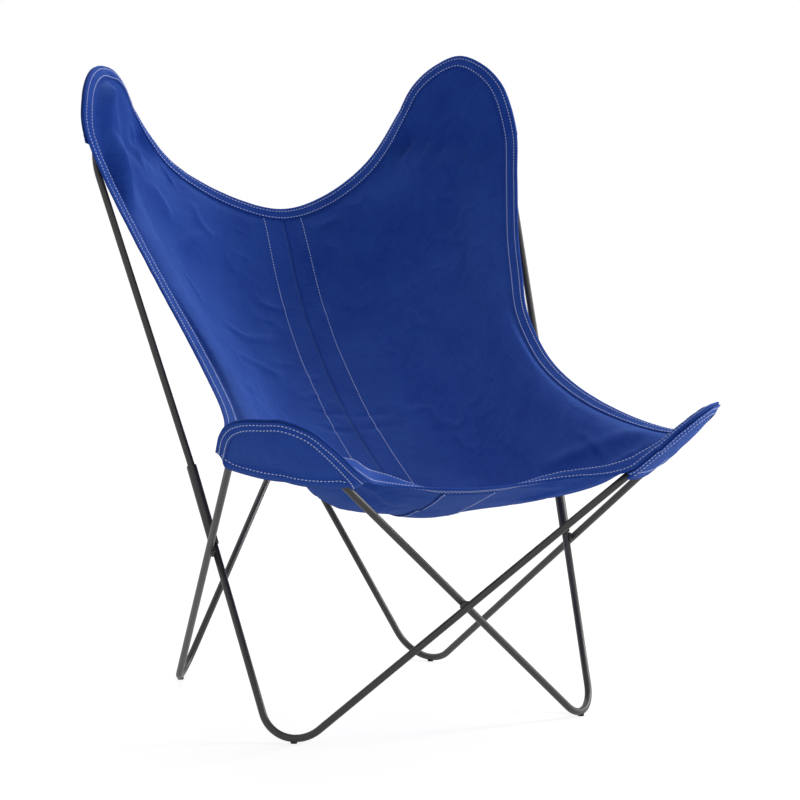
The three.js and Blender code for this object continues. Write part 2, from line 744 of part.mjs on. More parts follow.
// Frame
const sideLines = {};
const backLines = [];
const frontLines = [];
loops.forEach((loop) => {
  const corner = sideName(loop.side);
  const crown = sideName(-loop.side);
  const baseLine = baseRodLine(loop);
  const places = sleevePlaces(loop);
  chair.add(makeMesh(`front_${corner}_base_rod`, rodGeometry(baseLine, ROD_DIAMETER), steel));
  chair.add(makeMesh(`${crown}_back_upright`, rodGeometry(uprightLine(loop), ROD_DIAMETER), steel));
  chair.add(sleeveMesh(`${crown}_side_sleeve`, places.sideMiddle, places.sideUp));
  chair.add(sleeveMesh(`${crown}_back_sleeve`, places.backMiddle, places.backUp));
  chair.add(glideMesh(`front_${crown}_glide`, frontFloorBend(loop), baseLine));
  chair.add(glideMesh(`back_${corner}_glide`, backFloorBend(loop), baseLine));
  frontLines.push([loop.frontCorner, loop.frontFloor]);
  backLines.push([loop.backFloor, loop.backBow]);
  (sideLines[crown] ??= []).push([loop.frontFloor, loop.sideJoint]);
  (sideLines[corner] ??= []).push([loop.frontCorner, loop.backFloor]);
});
chair.add(weldMesh('front_weld', ...frontLines));
chair.add(weldMesh('back_weld', ...backLines));
chair.add(weldMesh('left_side_weld', ...sideLines.left));
chair.add(weldMesh('right_side_weld', ...sideLines.right));

// Sling
const { points, cells } = slingSurface();
const seamCells = cells.strip.filter((cell) => !cells.left.includes(cell) && !cells.right.includes(cell));
const normals = surfaceNormals(points, [...cells.left, ...cells.right, ...seamCells]);
const layer = CANVAS + CLEARANCE;
chair.add(makeMesh('left_panel', sheetGeometry(points, normals, cells.left, 0, CANVAS), canvas));
chair.add(makeMesh('right_panel', sheetGeometry(points, normals, cells.right, 0, CANVAS), canvas));
chair.add(makeMesh('edge_binding', sheetGeometry(points, normals, cells.binding, layer, CANVAS), canvas));
chair.add(makeMesh('centre_strip', sheetGeometry(points, normals, cells.strip, -layer, CANVAS), canvas));
SIDES.forEach((side) => {
  chair.add(makeMesh(`front_${sideName(side)}_pocket`, pocketGeometry(frontLobe(side)), canvas));
  chair.add(makeMesh(`back_${sideName(side)}_pocket`, pocketGeometry(backLobe(side)), canvas));
});

// Centres the chair over the origin
const middle = new THREE.Box3().setFromObject(chair).getCenter(vector(0, 0, 0));
chair.position.set(-middle.x, -middle.y, 0);
const part = new THREE.Group();
part.add(chair);
export default part;
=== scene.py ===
"""Butterfly sling chair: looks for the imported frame. Millimetres until a piece is made, then metres."""
import math

import bpy
import numpy as np
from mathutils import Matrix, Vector, noise


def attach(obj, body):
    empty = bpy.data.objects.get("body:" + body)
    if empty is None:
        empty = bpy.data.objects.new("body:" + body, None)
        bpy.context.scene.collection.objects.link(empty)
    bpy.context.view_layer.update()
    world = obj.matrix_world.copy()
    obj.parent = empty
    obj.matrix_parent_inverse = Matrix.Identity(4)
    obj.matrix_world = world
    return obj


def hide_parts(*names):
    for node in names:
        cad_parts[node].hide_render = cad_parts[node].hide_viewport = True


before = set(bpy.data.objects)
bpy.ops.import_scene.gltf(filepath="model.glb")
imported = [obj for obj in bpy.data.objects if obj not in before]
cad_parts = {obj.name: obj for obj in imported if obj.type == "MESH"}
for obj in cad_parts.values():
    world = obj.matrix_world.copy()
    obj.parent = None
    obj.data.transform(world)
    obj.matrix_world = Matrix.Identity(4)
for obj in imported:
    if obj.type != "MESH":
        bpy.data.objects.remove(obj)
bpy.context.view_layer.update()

SCENE = bpy.context.scene
LEFT, RIGHT = -1, 1
SIDES = (LEFT, RIGHT)
SIDE_NAME = {LEFT: "left", RIGHT: "right"}
MM = 0.001
FAR = 1e9
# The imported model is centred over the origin, this far from the work points below
SHIFT = np.array((0.0, 54.652, 0.0))
MIRROR = np.array((-1.0, 1.0, 1.0))

# Frame
ROD_RADIUS = 5.0
CLEARANCE = 0.3
SLEEVE_RADIUS = 7.0
SLEEVE_LENGTH = 117.0
SLEEVE_CHAMFER = 0.9
# Bends of the rods, by work point
RADIUS = {
    "front_corner": 54.0, "front_floor": 49.0, "back_floor": 56.0, "side_joint": 150.0, "side_bow": 120.0,
    "back_bow": 120.0, "crown": 70.0,
}
# Work points of the two rod loops: of the one with the left front corner, and of the one with the right
WORK_POINTS = {
    "front_corner": ((-349.7, -472.945, 482.0), (349.7, -484.055, 482.0)),
    "front_floor": ((237.2, -267.445, -26.528), (-237.2, -278.555, -26.204)),
    "back_floor": ((-199.5, 242.593, -27.618), (199.5, 232.207, -27.586)),
    "side_joint": ((277.528, -54.207, 354.3), (-280.506, -64.593, 354.3)),
    "side_bow": ((330.5, 200.793, 755.0), (-330.5, 190.407, 755.0)),
    "back_bow": ((216.7, 344.493, 755.0), (-216.7, 334.107, 755.0)),
    "crown": ((304.0, 308.193, 1067.0), (-304.0, 297.807, 1067.0)),
    "side_sleeve": ((270.32, -92.32, 286.232), (-273.994, -96.765, 297.087)),
    "back_sleeve": ((36.268, 300.318, 415.718), (-36.968, 290.102, 417.047)),
}
LOOPS = {side: {name: np.array(pair[index]) for name, pair in WORK_POINTS.items()}
         for index, side in enumerate(SIDES)}

# Sling
CANVAS = 1.2
BINDING_WIDTH = 19.0
STRIP_WIDTH = 70.0
CORNER_MARGIN = 20.0
POCKET_FLAP = 24.0
POCKET_WRAP = 14.0
CORNER_SLACK = 0.4
CENTRE_PROFILE = (
    (0, 313, 690), (0, 211, 535), (0, 79, 417), (0, -75, 329), (0, -190, 279), (0, -290, 303), (0, -382, 336),
)
TOP_EDGE = ((75, 326, 709), (160, 338, 762))
SIDE_EDGE = ((326, 164, 738), (291, 70, 613), (263, -60, 487), (284, -215, 421))
FRONT_EDGE = ((125, -384, 344),)
# A corner's rod points from its start leg to its end leg, and the way to its sitter
LOBE_POINTS = {"back": ("back_bow", "crown", "side_bow"), "front": ("front_floor", "front_corner", "back_floor")}
SITTER_SIDE = {"back": (0, -1, 0), "front": (0, 0, 1)}
# Straight runs past a corner's bend, on its start leg and on its end leg: of the pocket, and of the band over it
POCKET_RUNS = {"back": (50.0, 50.0), "front": (58.0, 50.0)}
BAND_RUNS = {"back": (55.0, 58.0), "front": (86.0, 40.0)}
# Where the cut edge leaves a corner: run along the leg, height over its plane and share of its extra margin
FRONT_EDGE_RUN, FRONT_EDGE_RISE, FRONT_EDGE_MARGIN = 76.0, {LEFT: 8.0, RIGHT: 1.0}, 0.6
SIDE_EDGE_RUN, SIDE_EDGE_RISE = 40.0, 2.0
BACK_EDGE_RUN = 45.0
# Extra margin of each corner's cloth beyond its rod, from the start leg by quarters to the end leg
MARGINS = {
    (LEFT, "back"): (5, -4, -9, 1, 17),
    (RIGHT, "back"): (12, 11, 18, 7, 4),
    (LEFT, "front"): (15, 14, 0, 0, 0),
    (RIGHT, "front"): (15, 14, 0, 0, 0),
}
# How far edge points lie off those above: the top's last in x, the side's second outward, the front's in height
TOP_SHIFT = -6.0
SIDE_SHIFT = {LEFT: 0.0, RIGHT: -4.5}
FRONT_SHIFT = {LEFT: 3.0, RIGHT: 0.0}
# Patch of the sling: curve across, stations on a corner's half, steps between edge points, and relaxing
CROSS_CURVE = 1.5
LOBE_SHARES = (0, 1 / 6, 1 / 3, 1 / 2)
COLUMN_STEPS = (1, 3, 4, 2, 2, 2)
ROW_STEPS = (2, 2, 2, 2, 2, 3, 3, 3, 2, 2, 2, 2, 2)
RELAX_PASSES = 60
RELAX_RATE = 0.12
ROW_FINE, COLUMN_FINE, BAND_FINE = 12, 8, 6
GHOST_COLUMNS = 3


def unit(v):
    return v / np.linalg.norm(v)


def units(rows):
    return rows / np.maximum(np.linalg.norm(rows, axis=-1), 1e-12)[..., None]


def turn(v, axis, angle):
    return (v * math.cos(angle) + np.cross(axis, v) * math.sin(angle)
            + axis * np.dot(axis, v) * (1 - math.cos(angle)))


def read(places, along, values):
    """Points of a line at distances along it."""
    return np.stack([np.interp(places, along, values[:, k]) for k in range(3)], axis=-1)


def length_along(points):
    steps = np.linalg.norm(np.diff(points, axis=0), axis=1)
    return np.concatenate([[0.0], np.cumsum(steps)])


def curve(points, places):
    """Centripetal spline through points, read at point numbers."""
    points = np.asarray(points, float)
    padded = np.vstack([2 * points[0] - points[1], points, 2 * points[-1] - points[-2]])
    places = np.atleast_1d(places)
    index = np.clip(np.floor(places).astype(int), 0, len(points) - 2)
    w = (places - index)[:, None]
    p0, p1, p2, p3 = (padded[index + k] for k in range(4))
    d0, d1, d2 = (np.maximum(np.linalg.norm(b - a, axis=1), 1e-9)[:, None] ** 0.5
                  for a, b in ((p0, p1), (p1, p2), (p2, p3)))
    t1 = ((p1 - p0) / d0 - (p2 - p0) / (d0 + d1) + (p2 - p1) / d1) * d1
    t2 = ((p2 - p1) / d1 - (p3 - p1) / (d1 + d2) + (p3 - p2) / d2) * d1
    c2 = -3 * p1 + 3 * p2 - 2 * t1 - t2
    c3 = 2 * p1 - 2 * p2 + t1 + t2
    return p1 + t1 * w + c2 * w ** 2 + c3 * w ** 3


class Bend:
    """Round bend of a rod between two straight runs."""

    def __init__(self, before, corner, after, radius):
        self.to_before, self.to_after = unit(before - corner), unit(after - corner)
        half = math.acos(np.dot(self.to_before, self.to_after)) / 2
        self.inward = unit(self.to_before + self.to_after)
        self.center = corner + self.inward * radius / math.sin(half)
        self.axis = unit(np.cross(self.to_after, self.to_before))
        self.sweep = math.pi - 2 * half
        self.radius = radius
        self.radial = unit(corner + self.to_before * radius / math.tan(half) - self.center)

    def spoke(self, share):
        return turn(self.radial, self.axis, share * self.sweep)


class Lobe(Bend):
    """Corner of the sling round a rod bend: share 0 to 1 runs from its start leg to its end leg."""

    def __init__(self, side, kind):
        loop = LOOPS[side if kind == "front" else -side]
        names = LOBE_POINTS[kind]
        super().__init__(*(loop[name] for name in names), RADIUS[names[1]])
        self.normal = self.axis * np.sign(np.dot(self.axis, SITTER_SIDE[kind]))
        self.lift = ROD_RADIUS + CLEARANCE + CANVAS / 2 + CORNER_SLACK
        self.seam = (CANVAS + CLEARANCE) / 2
        self.extra = MARGINS[side, kind]
        self.spread = self.radius + CORNER_MARGIN + max(self.extra)
        legs = zip((0, 1), (self.to_before, self.to_after), POCKET_RUNS[kind])
        self.mouth, end = (self.center + self.spoke(share) * self.spread + leg * (run + POCKET_FLAP)
                           for share, leg, run in legs)
        along = unit(end - self.mouth)
        self.past_mouth = unit(self.inward - along * np.dot(self.inward, along))

    def margin(self, share):
        place = share * (len(self.extra) - 1)
        return CORNER_MARGIN + float(curve(np.array(self.extra, float)[:, None], place)[0, 0])

    def rim(self, share, inset):
        height = self.seam + (self.lift - self.seam) * inset / BINDING_WIDTH
        reach = self.radius + self.margin(share) - inset
        return self.center + self.spoke(share) * reach + self.normal * height

    def height(self, point):
        return np.dot(point - self.center, self.normal)

    def covers(self, point):
        rest = point - self.center
        spread = max(np.dot(rest, self.spoke(0)), np.dot(rest, self.spoke(1)))
        return np.dot(point - self.mouth, self.past_mouth) < 0 and spread < self.spread


LOBES = {side: {kind: Lobe(side, kind) for kind in LOBE_POINTS} for side in SIDES}
CENTRE_LINE = curve(CENTRE_PROFILE, np.linspace(0, len(CENTRE_PROFILE) - 1, 601))
CENTRE_LENGTH = length_along(CENTRE_LINE)


def centre_point(share, inset):
    return read(inset + np.asarray(share) * (CENTRE_LENGTH[-1] - 2 * inset), CENTRE_LENGTH, CENTRE_LINE)


def stations(steps):
    places = [0.0]
    for stretch, count in enumerate(steps):
        places += [stretch + step / count for step in range(1, count + 1)]
    return np.array(places)


STRIP_PLACE = STRIP_WIDTH / 2 / TOP_EDGE[0][0]
COLUMNS = np.concatenate([[0.0, STRIP_PLACE], stations(COLUMN_STEPS)[1:]])
ROWS = stations(ROW_STEPS)


def sling_edges(side, inset, slopes=None):
    """Three edges of half the sling, as splines read by point number from their second point on."""
    back, front = LOBES[side]["back"], LOBES[side]["front"]
    free = {name: [np.array((side * x, y, z), float) for x, y, z in edge]
            for name, edge in (("top", TOP_EDGE), ("side", SIDE_EDGE), ("front", FRONT_EDGE))}
    free["top"][-1][0] += TOP_SHIFT
    free["front"][-1][2] += FRONT_SHIFT[side]
    free["side"][1][0] += side * SIDE_SHIFT[side]
    if slopes:
        free = {name: [p + slope * inset for p, slope in zip(points, slopes[name])] for name, points in free.items()}
    front_run = front.rim(0, inset) + front.to_before * FRONT_EDGE_RUN + front.normal * FRONT_EDGE_RISE[side]
    front_run -= front.spoke(0) * front.extra[0] * (1 - FRONT_EDGE_MARGIN)
    back_run = back.rim(1, inset) + back.to_after * BACK_EDGE_RUN
    side_run = front.rim(1, inset) + front.to_after * SIDE_EDGE_RUN + front.normal * SIDE_EDGE_RISE
    (back_inner, back_outer), (front_inner, front_outer) = (
        ([lobe.rim(s, inset) for s in LOBE_SHARES], [lobe.rim(1 - s, inset) for s in LOBE_SHARES])
        for lobe in (back, front))
    lines = {
        "top": [free["top"][0] * MIRROR, centre_point(0.0, inset), *free["top"], *back_inner, back_outer[2]],
        "front": [free["front"][0] * MIRROR, centre_point(1.0, inset), *free["front"], front_run, *front_inner,
                  front_outer[2]],
        "side": [back_inner[2], *back_outer[::-1], back_run, *free["side"], side_run, *front_outer, front_inner[2]],
    }
    return {name: (lambda places, points=points: curve(points, places + 1)) for name, points in lines.items()}


def span_patch(edges, inset):
    """Patch between the centre line and the three edges, as rows of points."""
    top, front, outer = edges["top"](COLUMNS), edges["front"](COLUMNS), edges["side"](ROWS)
    shares = [length_along(line) / length_along(line)[-1] for line in (top, front, outer)]
    v = shares[2][:, None]
    u = (shares[0][None] * (1 - v) + shares[1][None] * v) ** CROSS_CURVE
    u, v = u[..., None], v[..., None]
    centre = centre_point(shares[2], inset)[:, None]
    patch = top[None] * (1 - v) + front[None] * v + centre * (1 - u) + outer[:, None] * u
    patch -= (1 - u) * ((1 - v) * top[0] + v * front[0]) + u * ((1 - v) * top[-1] + v * front[-1])
    return patch


def edge_slopes(patch):
    """Slope of the cloth from each free edge point into the cloth, square to the edge."""
    def slopes(lines, places, edge, first):
        for index in range(len(edge)):
            number = int(np.where(places == index + first)[0][0])
            line, along = lines[number], unit(lines[number + 1][0] - lines[number - 1][0])
            reach = next(p for p in line if np.linalg.norm(p - line[0]) > 2 * BINDING_WIDTH) - line[0]
            yield unit(reach - along * np.dot(reach, along))

    columns = patch.transpose(1, 0, 2)
    return {
        "top": list(slopes(columns, COLUMNS, TOP_EDGE, 1)),
        "front": list(slopes(columns[:, ::-1], COLUMNS, FRONT_EDGE, 1)),
        "side": list(slopes(patch[:, ::-1], ROWS, SIDE_EDGE, len(LOBE_SHARES) + 1)),
    }


def hold_corners(patch, side):
    """Lays the patch flat over the pockets and returns which points stay."""
    edge = np.ones(patch.shape[:2], bool)
    edge[1:-1, 1:-1] = False
    held = edge.copy()
    for place in np.ndindex(held.shape):
        for lobe in LOBES[side].values():
            if lobe.covers(patch[place]):
                rise = lobe.lift - lobe.height(patch[place])
                patch[place] += lobe.normal * (max(rise, 0) if edge[place] else rise)
                held[place] = True
    return held


def lag(grid):
    """How far each inner point lies behind the mean of its four neighbours; the centre line is mirrored."""
    wide = np.concatenate([grid[:, 1:2] * MIRROR, grid], axis=1)
    mean = (wide[:-2, 1:-1] + wide[2:, 1:-1] + wide[1:-1, :-2] + wide[1:-1, 2:]) / 4
    out = np.zeros_like(grid)
    out[1:-1, :-1] = mean - grid[1:-1, :-1]
    return out


def relax(patch, held):
    for _ in range(RELAX_PASSES):
        move = lag(lag(patch)) * RELAX_RATE
        move[..., 0] = 0
        move[held] = 0
        patch -= move


def spline(points, fine):
    """Natural cubic spline along the first axis of points (N, M, 3), read at fractional point numbers."""
    n = len(points)
    out = np.empty((len(fine),) + points.shape[1:])
    for m in range(points.shape[1]):
        line = points[:, m]
        h = np.maximum(np.linalg.norm(np.diff(line, axis=0), axis=1), 1e-6) ** 0.5
        t = np.concatenate([[0.0], np.cumsum(h)])
        h = np.diff(t)
        matrix, right = np.eye(n), np.zeros((n, 3))
        for k in range(1, n - 1):
            matrix[k, k - 1:k + 2] = h[k - 1], 2 * (h[k - 1] + h[k]), h[k]
            right[k] = 6 * ((line[k + 1] - line[k]) / h[k] - (line[k] - line[k - 1]) / h[k - 1])
        bend = np.linalg.solve(matrix, right)
        x = np.interp(fine, np.arange(n), t)
        k = np.clip(np.searchsorted(t, x, side="right") - 1, 0, n - 2)
        a, b, hk = (t[k + 1] - x)[:, None], (x - t[k])[:, None], h[k][:, None]
        out[:, m] = ((bend[k] * a ** 3 + bend[k + 1] * b ** 3) / (6 * hk)
                     + (line[k] / hk - bend[k] * hk / 6) * a + (line[k + 1] / hk - bend[k + 1] * hk / 6) * b)
    return out


def fine_patch(patch):
    rows, columns = (np.linspace(0, n - 1, (n - 1) * fine + 1)
                     for n, fine in zip(patch.shape, (ROW_FINE, COLUMN_FINE)))
    wide = np.concatenate([patch[:, GHOST_COLUMNS:0:-1] * MIRROR, patch], axis=1)
    across = spline(wide.transpose(1, 0, 2), columns + GHOST_COLUMNS).transpose(1, 0, 2)
    return spline(across, rows), rows, columns


def quads_of(number):
    """Faces of a grid of point numbers."""
    return np.stack([number[:-1, :-1], number[1:, :-1], number[1:, 1:], number[:-1, 1:]], axis=-1).reshape(-1, 4)


def numbers_of(rows, columns, close_rows=0, close_columns=0):
    """Point numbers of a grid, with its first row or column again at the end where it closes on itself."""
    number = np.arange(rows * columns).reshape(rows, columns)
    return np.pad(number, ((0, close_rows), (0, close_columns)), mode="wrap")


def ring_quads(rings, sides):
    """Faces round a stack of rings of points."""
    return quads_of(numbers_of(rings, sides, 0, 1).T)


def grid_lengths(grid, axis):
    """Distance of each point of a grid along its line."""
    first = grid[:1] if axis == 0 else grid[:, :1]
    return np.cumsum(np.linalg.norm(np.diff(grid, axis=axis, prepend=first), axis=2), axis=axis)


class Surface:
    """Middle surface of one half of the sling: an inner grid, and a band of rows out to the cut edge."""

    def __init__(self, side):
        self.side = side
        edges = sling_edges(side, 0.0)
        slopes = edge_slopes(span_patch(edges, 0.0))
        patch = span_patch(sling_edges(side, BINDING_WIDTH, slopes), BINDING_WIDTH)
        relax(patch, hold_corners(patch, side))
        grid, rows, columns = fine_patch(patch)
        self.grid_shape = grid.shape[:2]
        places = {"top": (columns, COLUMNS), "front": (columns, COLUMNS), "side": (rows, ROWS)}
        cut = {name: self.clear(edges[name](np.interp(fine, np.arange(len(given)), given)))
               for name, (fine, given) in places.items()}
        number = numbers_of(*self.grid_shape)
        # Ring of the grid's border from the top centre round the back corner, side and front to the front centre
        ring = np.concatenate([number[0], number[1:, -1], number[-1, -2::-1]])
        edge = np.concatenate([cut["top"], cut["side"][1:], cut["front"][-2::-1]])
        points = grid.reshape(-1, 3)
        band = [points[ring] + (edge - points[ring]) * step / BAND_FINE for step in range(1, BAND_FINE + 1)]
        self.points = np.vstack([points, *band])
        self.number = number
        self.levels = np.vstack([ring, number.size + numbers_of(BAND_FINE, len(ring))])
        self.quads = np.vstack([quads_of(number), quads_of(self.levels.T)])
        if side == LEFT:
            self.quads = self.quads[:, ::-1]
        self.middle = np.concatenate([number[:, 0], self.levels[:, 0], self.levels[:, -1]])

    def clear(self, line):
        for lobe in LOBES[self.side].values():
            for point in line:
                if lobe.covers(point):
                    point += lobe.normal * max(lobe.seam - lobe.height(point), 0)
        return line

    def lay_out(self):
        """Cloth coordinates: across from the centre and down from the middle, square past the grid's border."""
        rows, columns = self.grid_shape
        grid = self.points[self.number]
        down = grid_lengths(grid, 0)
        uv = np.zeros((len(self.points), 2))
        uv[self.number.ravel()] = np.stack([grid_lengths(grid, 1), down - down[rows // 2]], -1).reshape(-1, 2)
        out = np.zeros((len(self.levels[0]), 2))
        out[:columns, 1] = -1
        out[columns:columns + rows - 2, 0] = 1
        out[columns + rows - 2:, 1] = 1
        for step, level in enumerate(self.levels):
            uv[level] = uv[self.levels[0]] + out * BINDING_WIDTH * step / BAND_FINE
        self.uv = uv * (self.side, 1)


def vertex_normals(points, quads):
    a, b, c, d = (points[quads[:, k]] for k in range(4))
    face = np.cross(c - a, d - b)
    normals = np.zeros_like(points)
    for k in range(4):
        np.add.at(normals, quads[:, k], face)
    return units(normals)


def smooth(points, quads, free, passes, rate):
    """Moves free points towards the mean of their neighbours."""
    a, b = quads.ravel(), np.roll(quads, -1, axis=1).ravel()
    pairs = np.unique(np.vstack([np.stack([a, b], 1), np.stack([b, a], 1)]), axis=0)
    degree = np.bincount(pairs[:, 0], minlength=len(points))[:, None]
    for _ in range(passes):
        total = np.zeros_like(points)
        np.add.at(total, pairs[:, 0], points[pairs[:, 1]])
        points[free] += rate * (total / np.maximum(degree, 1) - points)[free]


def link(name, data):
    obj = bpy.data.objects.new(name, data)
    SCENE.collection.objects.link(obj)
    return obj


def make_piece(name, points, faces, material, slot, node=None, uv=None):
    mesh = bpy.data.meshes.new(name)
    mesh.from_pydata(((points + SHIFT) * MM).tolist(), [], [list(map(int, f)) for f in faces])
    if uv is not None:
        layer = mesh.uv_layers.new(name="cloth")
        corner = np.empty(len(mesh.loops), np.int32)
        mesh.loops.foreach_get("vertex_index", corner)
        layer.data.foreach_set("uv", (uv[corner] * MM).astype(np.float32).ravel())
    mesh.materials.append(material)
    mesh.polygons.foreach_set("use_smooth", [True] * len(mesh.polygons))
    mesh.update()
    obj = link(name, mesh)
    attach(obj, "root")
    if node:
        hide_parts(node)
    return obj


# Materials

class Nodes:
    """Small helper for building the node tree of a material or of the world."""

    def __init__(self, owner):
        owner.use_nodes = True
        self.owner, self.tree = owner, owner.node_tree

    def put(self, socket, value):
        if isinstance(value, bpy.types.NodeSocket):
            self.tree.links.new(value, socket)
        else:
            socket.default_value = value

    def set(self, node, **inputs):
        for key, value in inputs.items():
            self.put(node.inputs[key.replace("_", " ")], value)
        return node

    def add(self, kind, settings=None, **inputs):
        node = self.tree.nodes.new(kind)
        for key, value in (settings or {}).items():
            setattr(node, key, value)
        return self.set(node, **inputs)

    def join(self, kind, *values, **settings):
        """Output of a node that takes values in the order of its inputs."""
        node = self.add(kind, settings)
        for socket, value in zip(node.inputs, values):
            self.put(socket, value)
        return node.outputs[0]

    def math(self, operation, *values):
        return self.join("ShaderNodeMath", *values, operation=operation)

    def blend(self, *parts):
        """Sum of values, each with its weight."""
        total, *rest = (self.math("MULTIPLY", value, weight) for value, weight in parts)
        for part in rest:
            total = self.math("ADD", total, part)
        return total

    def place(self):
        return self.add("ShaderNodeTexCoord").outputs["Object"]

    def noise(self, vector, scale, detail=3.0, roughness=0.5):
        node = self.add("ShaderNodeTexNoise", Vector=vector, Scale=scale, Detail=detail, Roughness=roughness)
        return node.outputs["Fac"]

    def stretch(self, vector, scale):
        return self.add("ShaderNodeMapping", Vector=vector, Scale=scale).outputs["Vector"]

    def ramp(self, fac, *stops):
        node = self.add("ShaderNodeValToRGB", Fac=fac)
        elements = node.color_ramp.elements
        while len(elements) < len(stops):
            elements.new(0.5)
        for element, (place, color) in zip(elements, stops):
            element.position = place
            element.color = (*color, 1)
        return node.outputs["Color"]

    def between(self, fac, low, high, start=0.0, end=1.0):
        node = self.add("ShaderNodeMapRange", Value=fac, From_Min=start, From_Max=end, To_Min=low, To_Max=high)
        return node.outputs["Result"]

    def bump(self, height, strength, distance, **normal):
        node = self.add("ShaderNodeBump", Height=height, Strength=strength, Distance=distance, **normal)
        return node.outputs["Normal"]

    def shade(self, **inputs):
        self.set(self.tree.nodes["Principled BSDF"], **inputs)
        return self.owner


def new_material(name):
    return Nodes(bpy.data.materials.new(name))


WEAVE_PITCH = 0.0009


def canvas_material():
    """Plain weave cotton canvas: threads over and under each other with painted shade between them, slubs along both,
    and a little uneven dye.
    """
    n = new_material("blue_canvas")
    uv = n.add("ShaderNodeUVMap", {"uv_map": "cloth"}).outputs["UV"]
    threads = n.stretch(uv, (1 / WEAVE_PITCH, 1 / WEAVE_PITCH, 1))
    split = n.add("ShaderNodeSeparateXYZ", Vector=threads)
    warp, weft = (n.math("ABSOLUTE", n.math("SINE", n.math("MULTIPLY", split.outputs[axis], math.pi)))
                  for axis in "XY")
    over = n.add("ShaderNodeTexChecker", Vector=threads, Scale=1.0).outputs["Fac"]
    weave = n.add("ShaderNodeMix", {"data_type": "FLOAT"}, Factor=over, A=warp, B=weft).outputs["Result"]
    slub = n.math("ADD", *(n.noise(n.stretch(uv, scale), 1.0, 2.0) for scale in ((900, 28, 1), (24, 800, 1))))
    cloud = n.noise(uv, 16.0, 4.0, 0.6)
    rub = n.noise(n.stretch(uv, (60, 90, 1)), 1.0, 5.0, 0.65)
    # The weave's share of the colour is painted shade: darker in the gaps between threads, lighter on their crowns;
    # the weave also drives the bump.
    color = n.ramp(n.blend((slub, 0.32), (cloud, 0.34), (rub, 0.22), (weave, 0.16)),
                   (0.36, (0.0066, 0.0315, 0.248)), (0.60, (0.0094, 0.0446, 0.315)), (0.82, (0.0182, 0.0720, 0.384)))
    soft = n.bump(slub, 0.20, 0.00025, Normal=n.bump(cloud, 0.10, 0.004))
    return n.shade(Base_Color=color, Roughness=n.between(rub, 0.78, 0.96),
                   Normal=n.bump(weave, 0.55, 0.00035, Normal=soft), Specular_IOR_Level=0.10, Sheen_Weight=0.11,
                   Sheen_Roughness=0.55, Sheen_Tint=(0.50, 0.80, 1.0, 1))


def thread_material():
    """Pale spun thread: fine twist and slightly uneven bleach."""
    n = new_material("pale_thread")
    place = n.place()
    fuzz, blot = n.noise(place, 900.0, 2.0), n.noise(place, 60.0, 2.0)
    color = n.ramp(n.blend((fuzz, 0.5), (blot, 0.5)), (0.3, (0.42, 0.49, 0.74)), (0.7, (0.66, 0.73, 0.92)))
    return n.shade(Base_Color=color, Roughness=n.between(blot, 0.7, 0.9), Normal=n.bump(fuzz, 0.5, 0.0002),
                   Specular_IOR_Level=0.2)


def coat_material():
    """Satin black powder coat: fine orange peel, faint dust, and rubbed spots that shine a little more."""
    n = new_material("black_coat")
    place = n.place()
    peel = n.noise(place, 700.0, 3.0)
    rub = n.noise(n.stretch(place, (22, 22, 9)), 1.0, 5.0, 0.65)
    dust = n.noise(place, 130.0, 4.0, 0.7)
    color = n.ramp(n.blend((rub, 0.6), (dust, 0.4)), (0.35, (0.026, 0.0238, 0.0232)),
                   (0.55, (0.034, 0.0310, 0.0300)), (0.75, (0.048, 0.0440, 0.0428)))
    return n.shade(Base_Color=color, Roughness=n.between(rub, 0.34, 0.56), Normal=n.bump(peel, 0.18, 0.0003),
                   Specular_IOR_Level=0.45)


def plastic_material():
    """Matte moulded plastic with a fine grain and scuffs from the floor."""
    n = new_material("black_plastic")
    place = n.place()
    grain = n.noise(place, 1500.0, 2.0)
    scuff = n.noise(n.stretch(place, (160, 40, 160)), 1.0, 4.0, 0.7)
    color = n.ramp(scuff, (0.4, (0.010, 0.010, 0.0105)), (0.7, (0.030, 0.030, 0.031)))
    return n.shade(Base_Color=color, Roughness=n.between(scuff, 0.5, 0.75), Normal=n.bump(grain, 0.3, 0.0002),
                   Specular_IOR_Level=0.35)


canvas, thread, steel, plastic = canvas_material(), thread_material(), coat_material(), plastic_material()

# Frame pieces

BEND_POINTS = 24
ROD_SIDES = 24
SLEEVE_SIDES = 32
# Any direction that no rod runs along
SKEW = (0.31, 0.27, 0.91)


def rod_line(loop, names):
    """Centre line of a rod through work points, its ends kept apart from the next rod's."""
    line = [loop[names[0]]]
    for index, name in enumerate(names[1:-1]):
        bend = Bend(*(loop[n] for n in names[index:index + 3]), RADIUS[name])
        line += [bend.center + bend.spoke(k / BEND_POINTS) * bend.radius for k in range(BEND_POINTS + 1)]
    line = np.array([*line, loop[names[-1]]])
    for end, inner in ((0, 1), (-1, -2)):
        line[end] += unit(line[inner] - line[end]) * CLEARANCE
    return line


def tube(line, radius, sides):
    """Closed round tube along a line of points."""
    tangents = units(np.gradient(line, axis=0))
    side = unit(np.cross(tangents[0], SKEW))
    angle = np.linspace(0, 2 * math.pi, sides, endpoint=False)[:, None]
    rings = []
    for point, along in zip(line, tangents):
        side = unit(side - along * np.dot(side, along))
        rings.append(point + radius * (np.cos(angle) * side + np.sin(angle) * np.cross(along, side)))
    base = np.arange(sides)
    return np.vstack(rings), [*ring_quads(len(line), sides), base[::-1], base + (len(line) - 1) * sides]


def lathe(profile, origin, along, sides):
    """Closed ring turned about a line: profile holds (radius, distance along) and closes on itself."""
    side = unit(np.cross(along, SKEW))
    other = np.cross(along, side)
    points = [origin + along * z + r * (math.cos(a) * side + math.sin(a) * other)
              for a in np.linspace(0, 2 * math.pi, sides, endpoint=False) for r, z in profile]
    return np.array(points), quads_of(numbers_of(sides, len(profile), 1, 1))


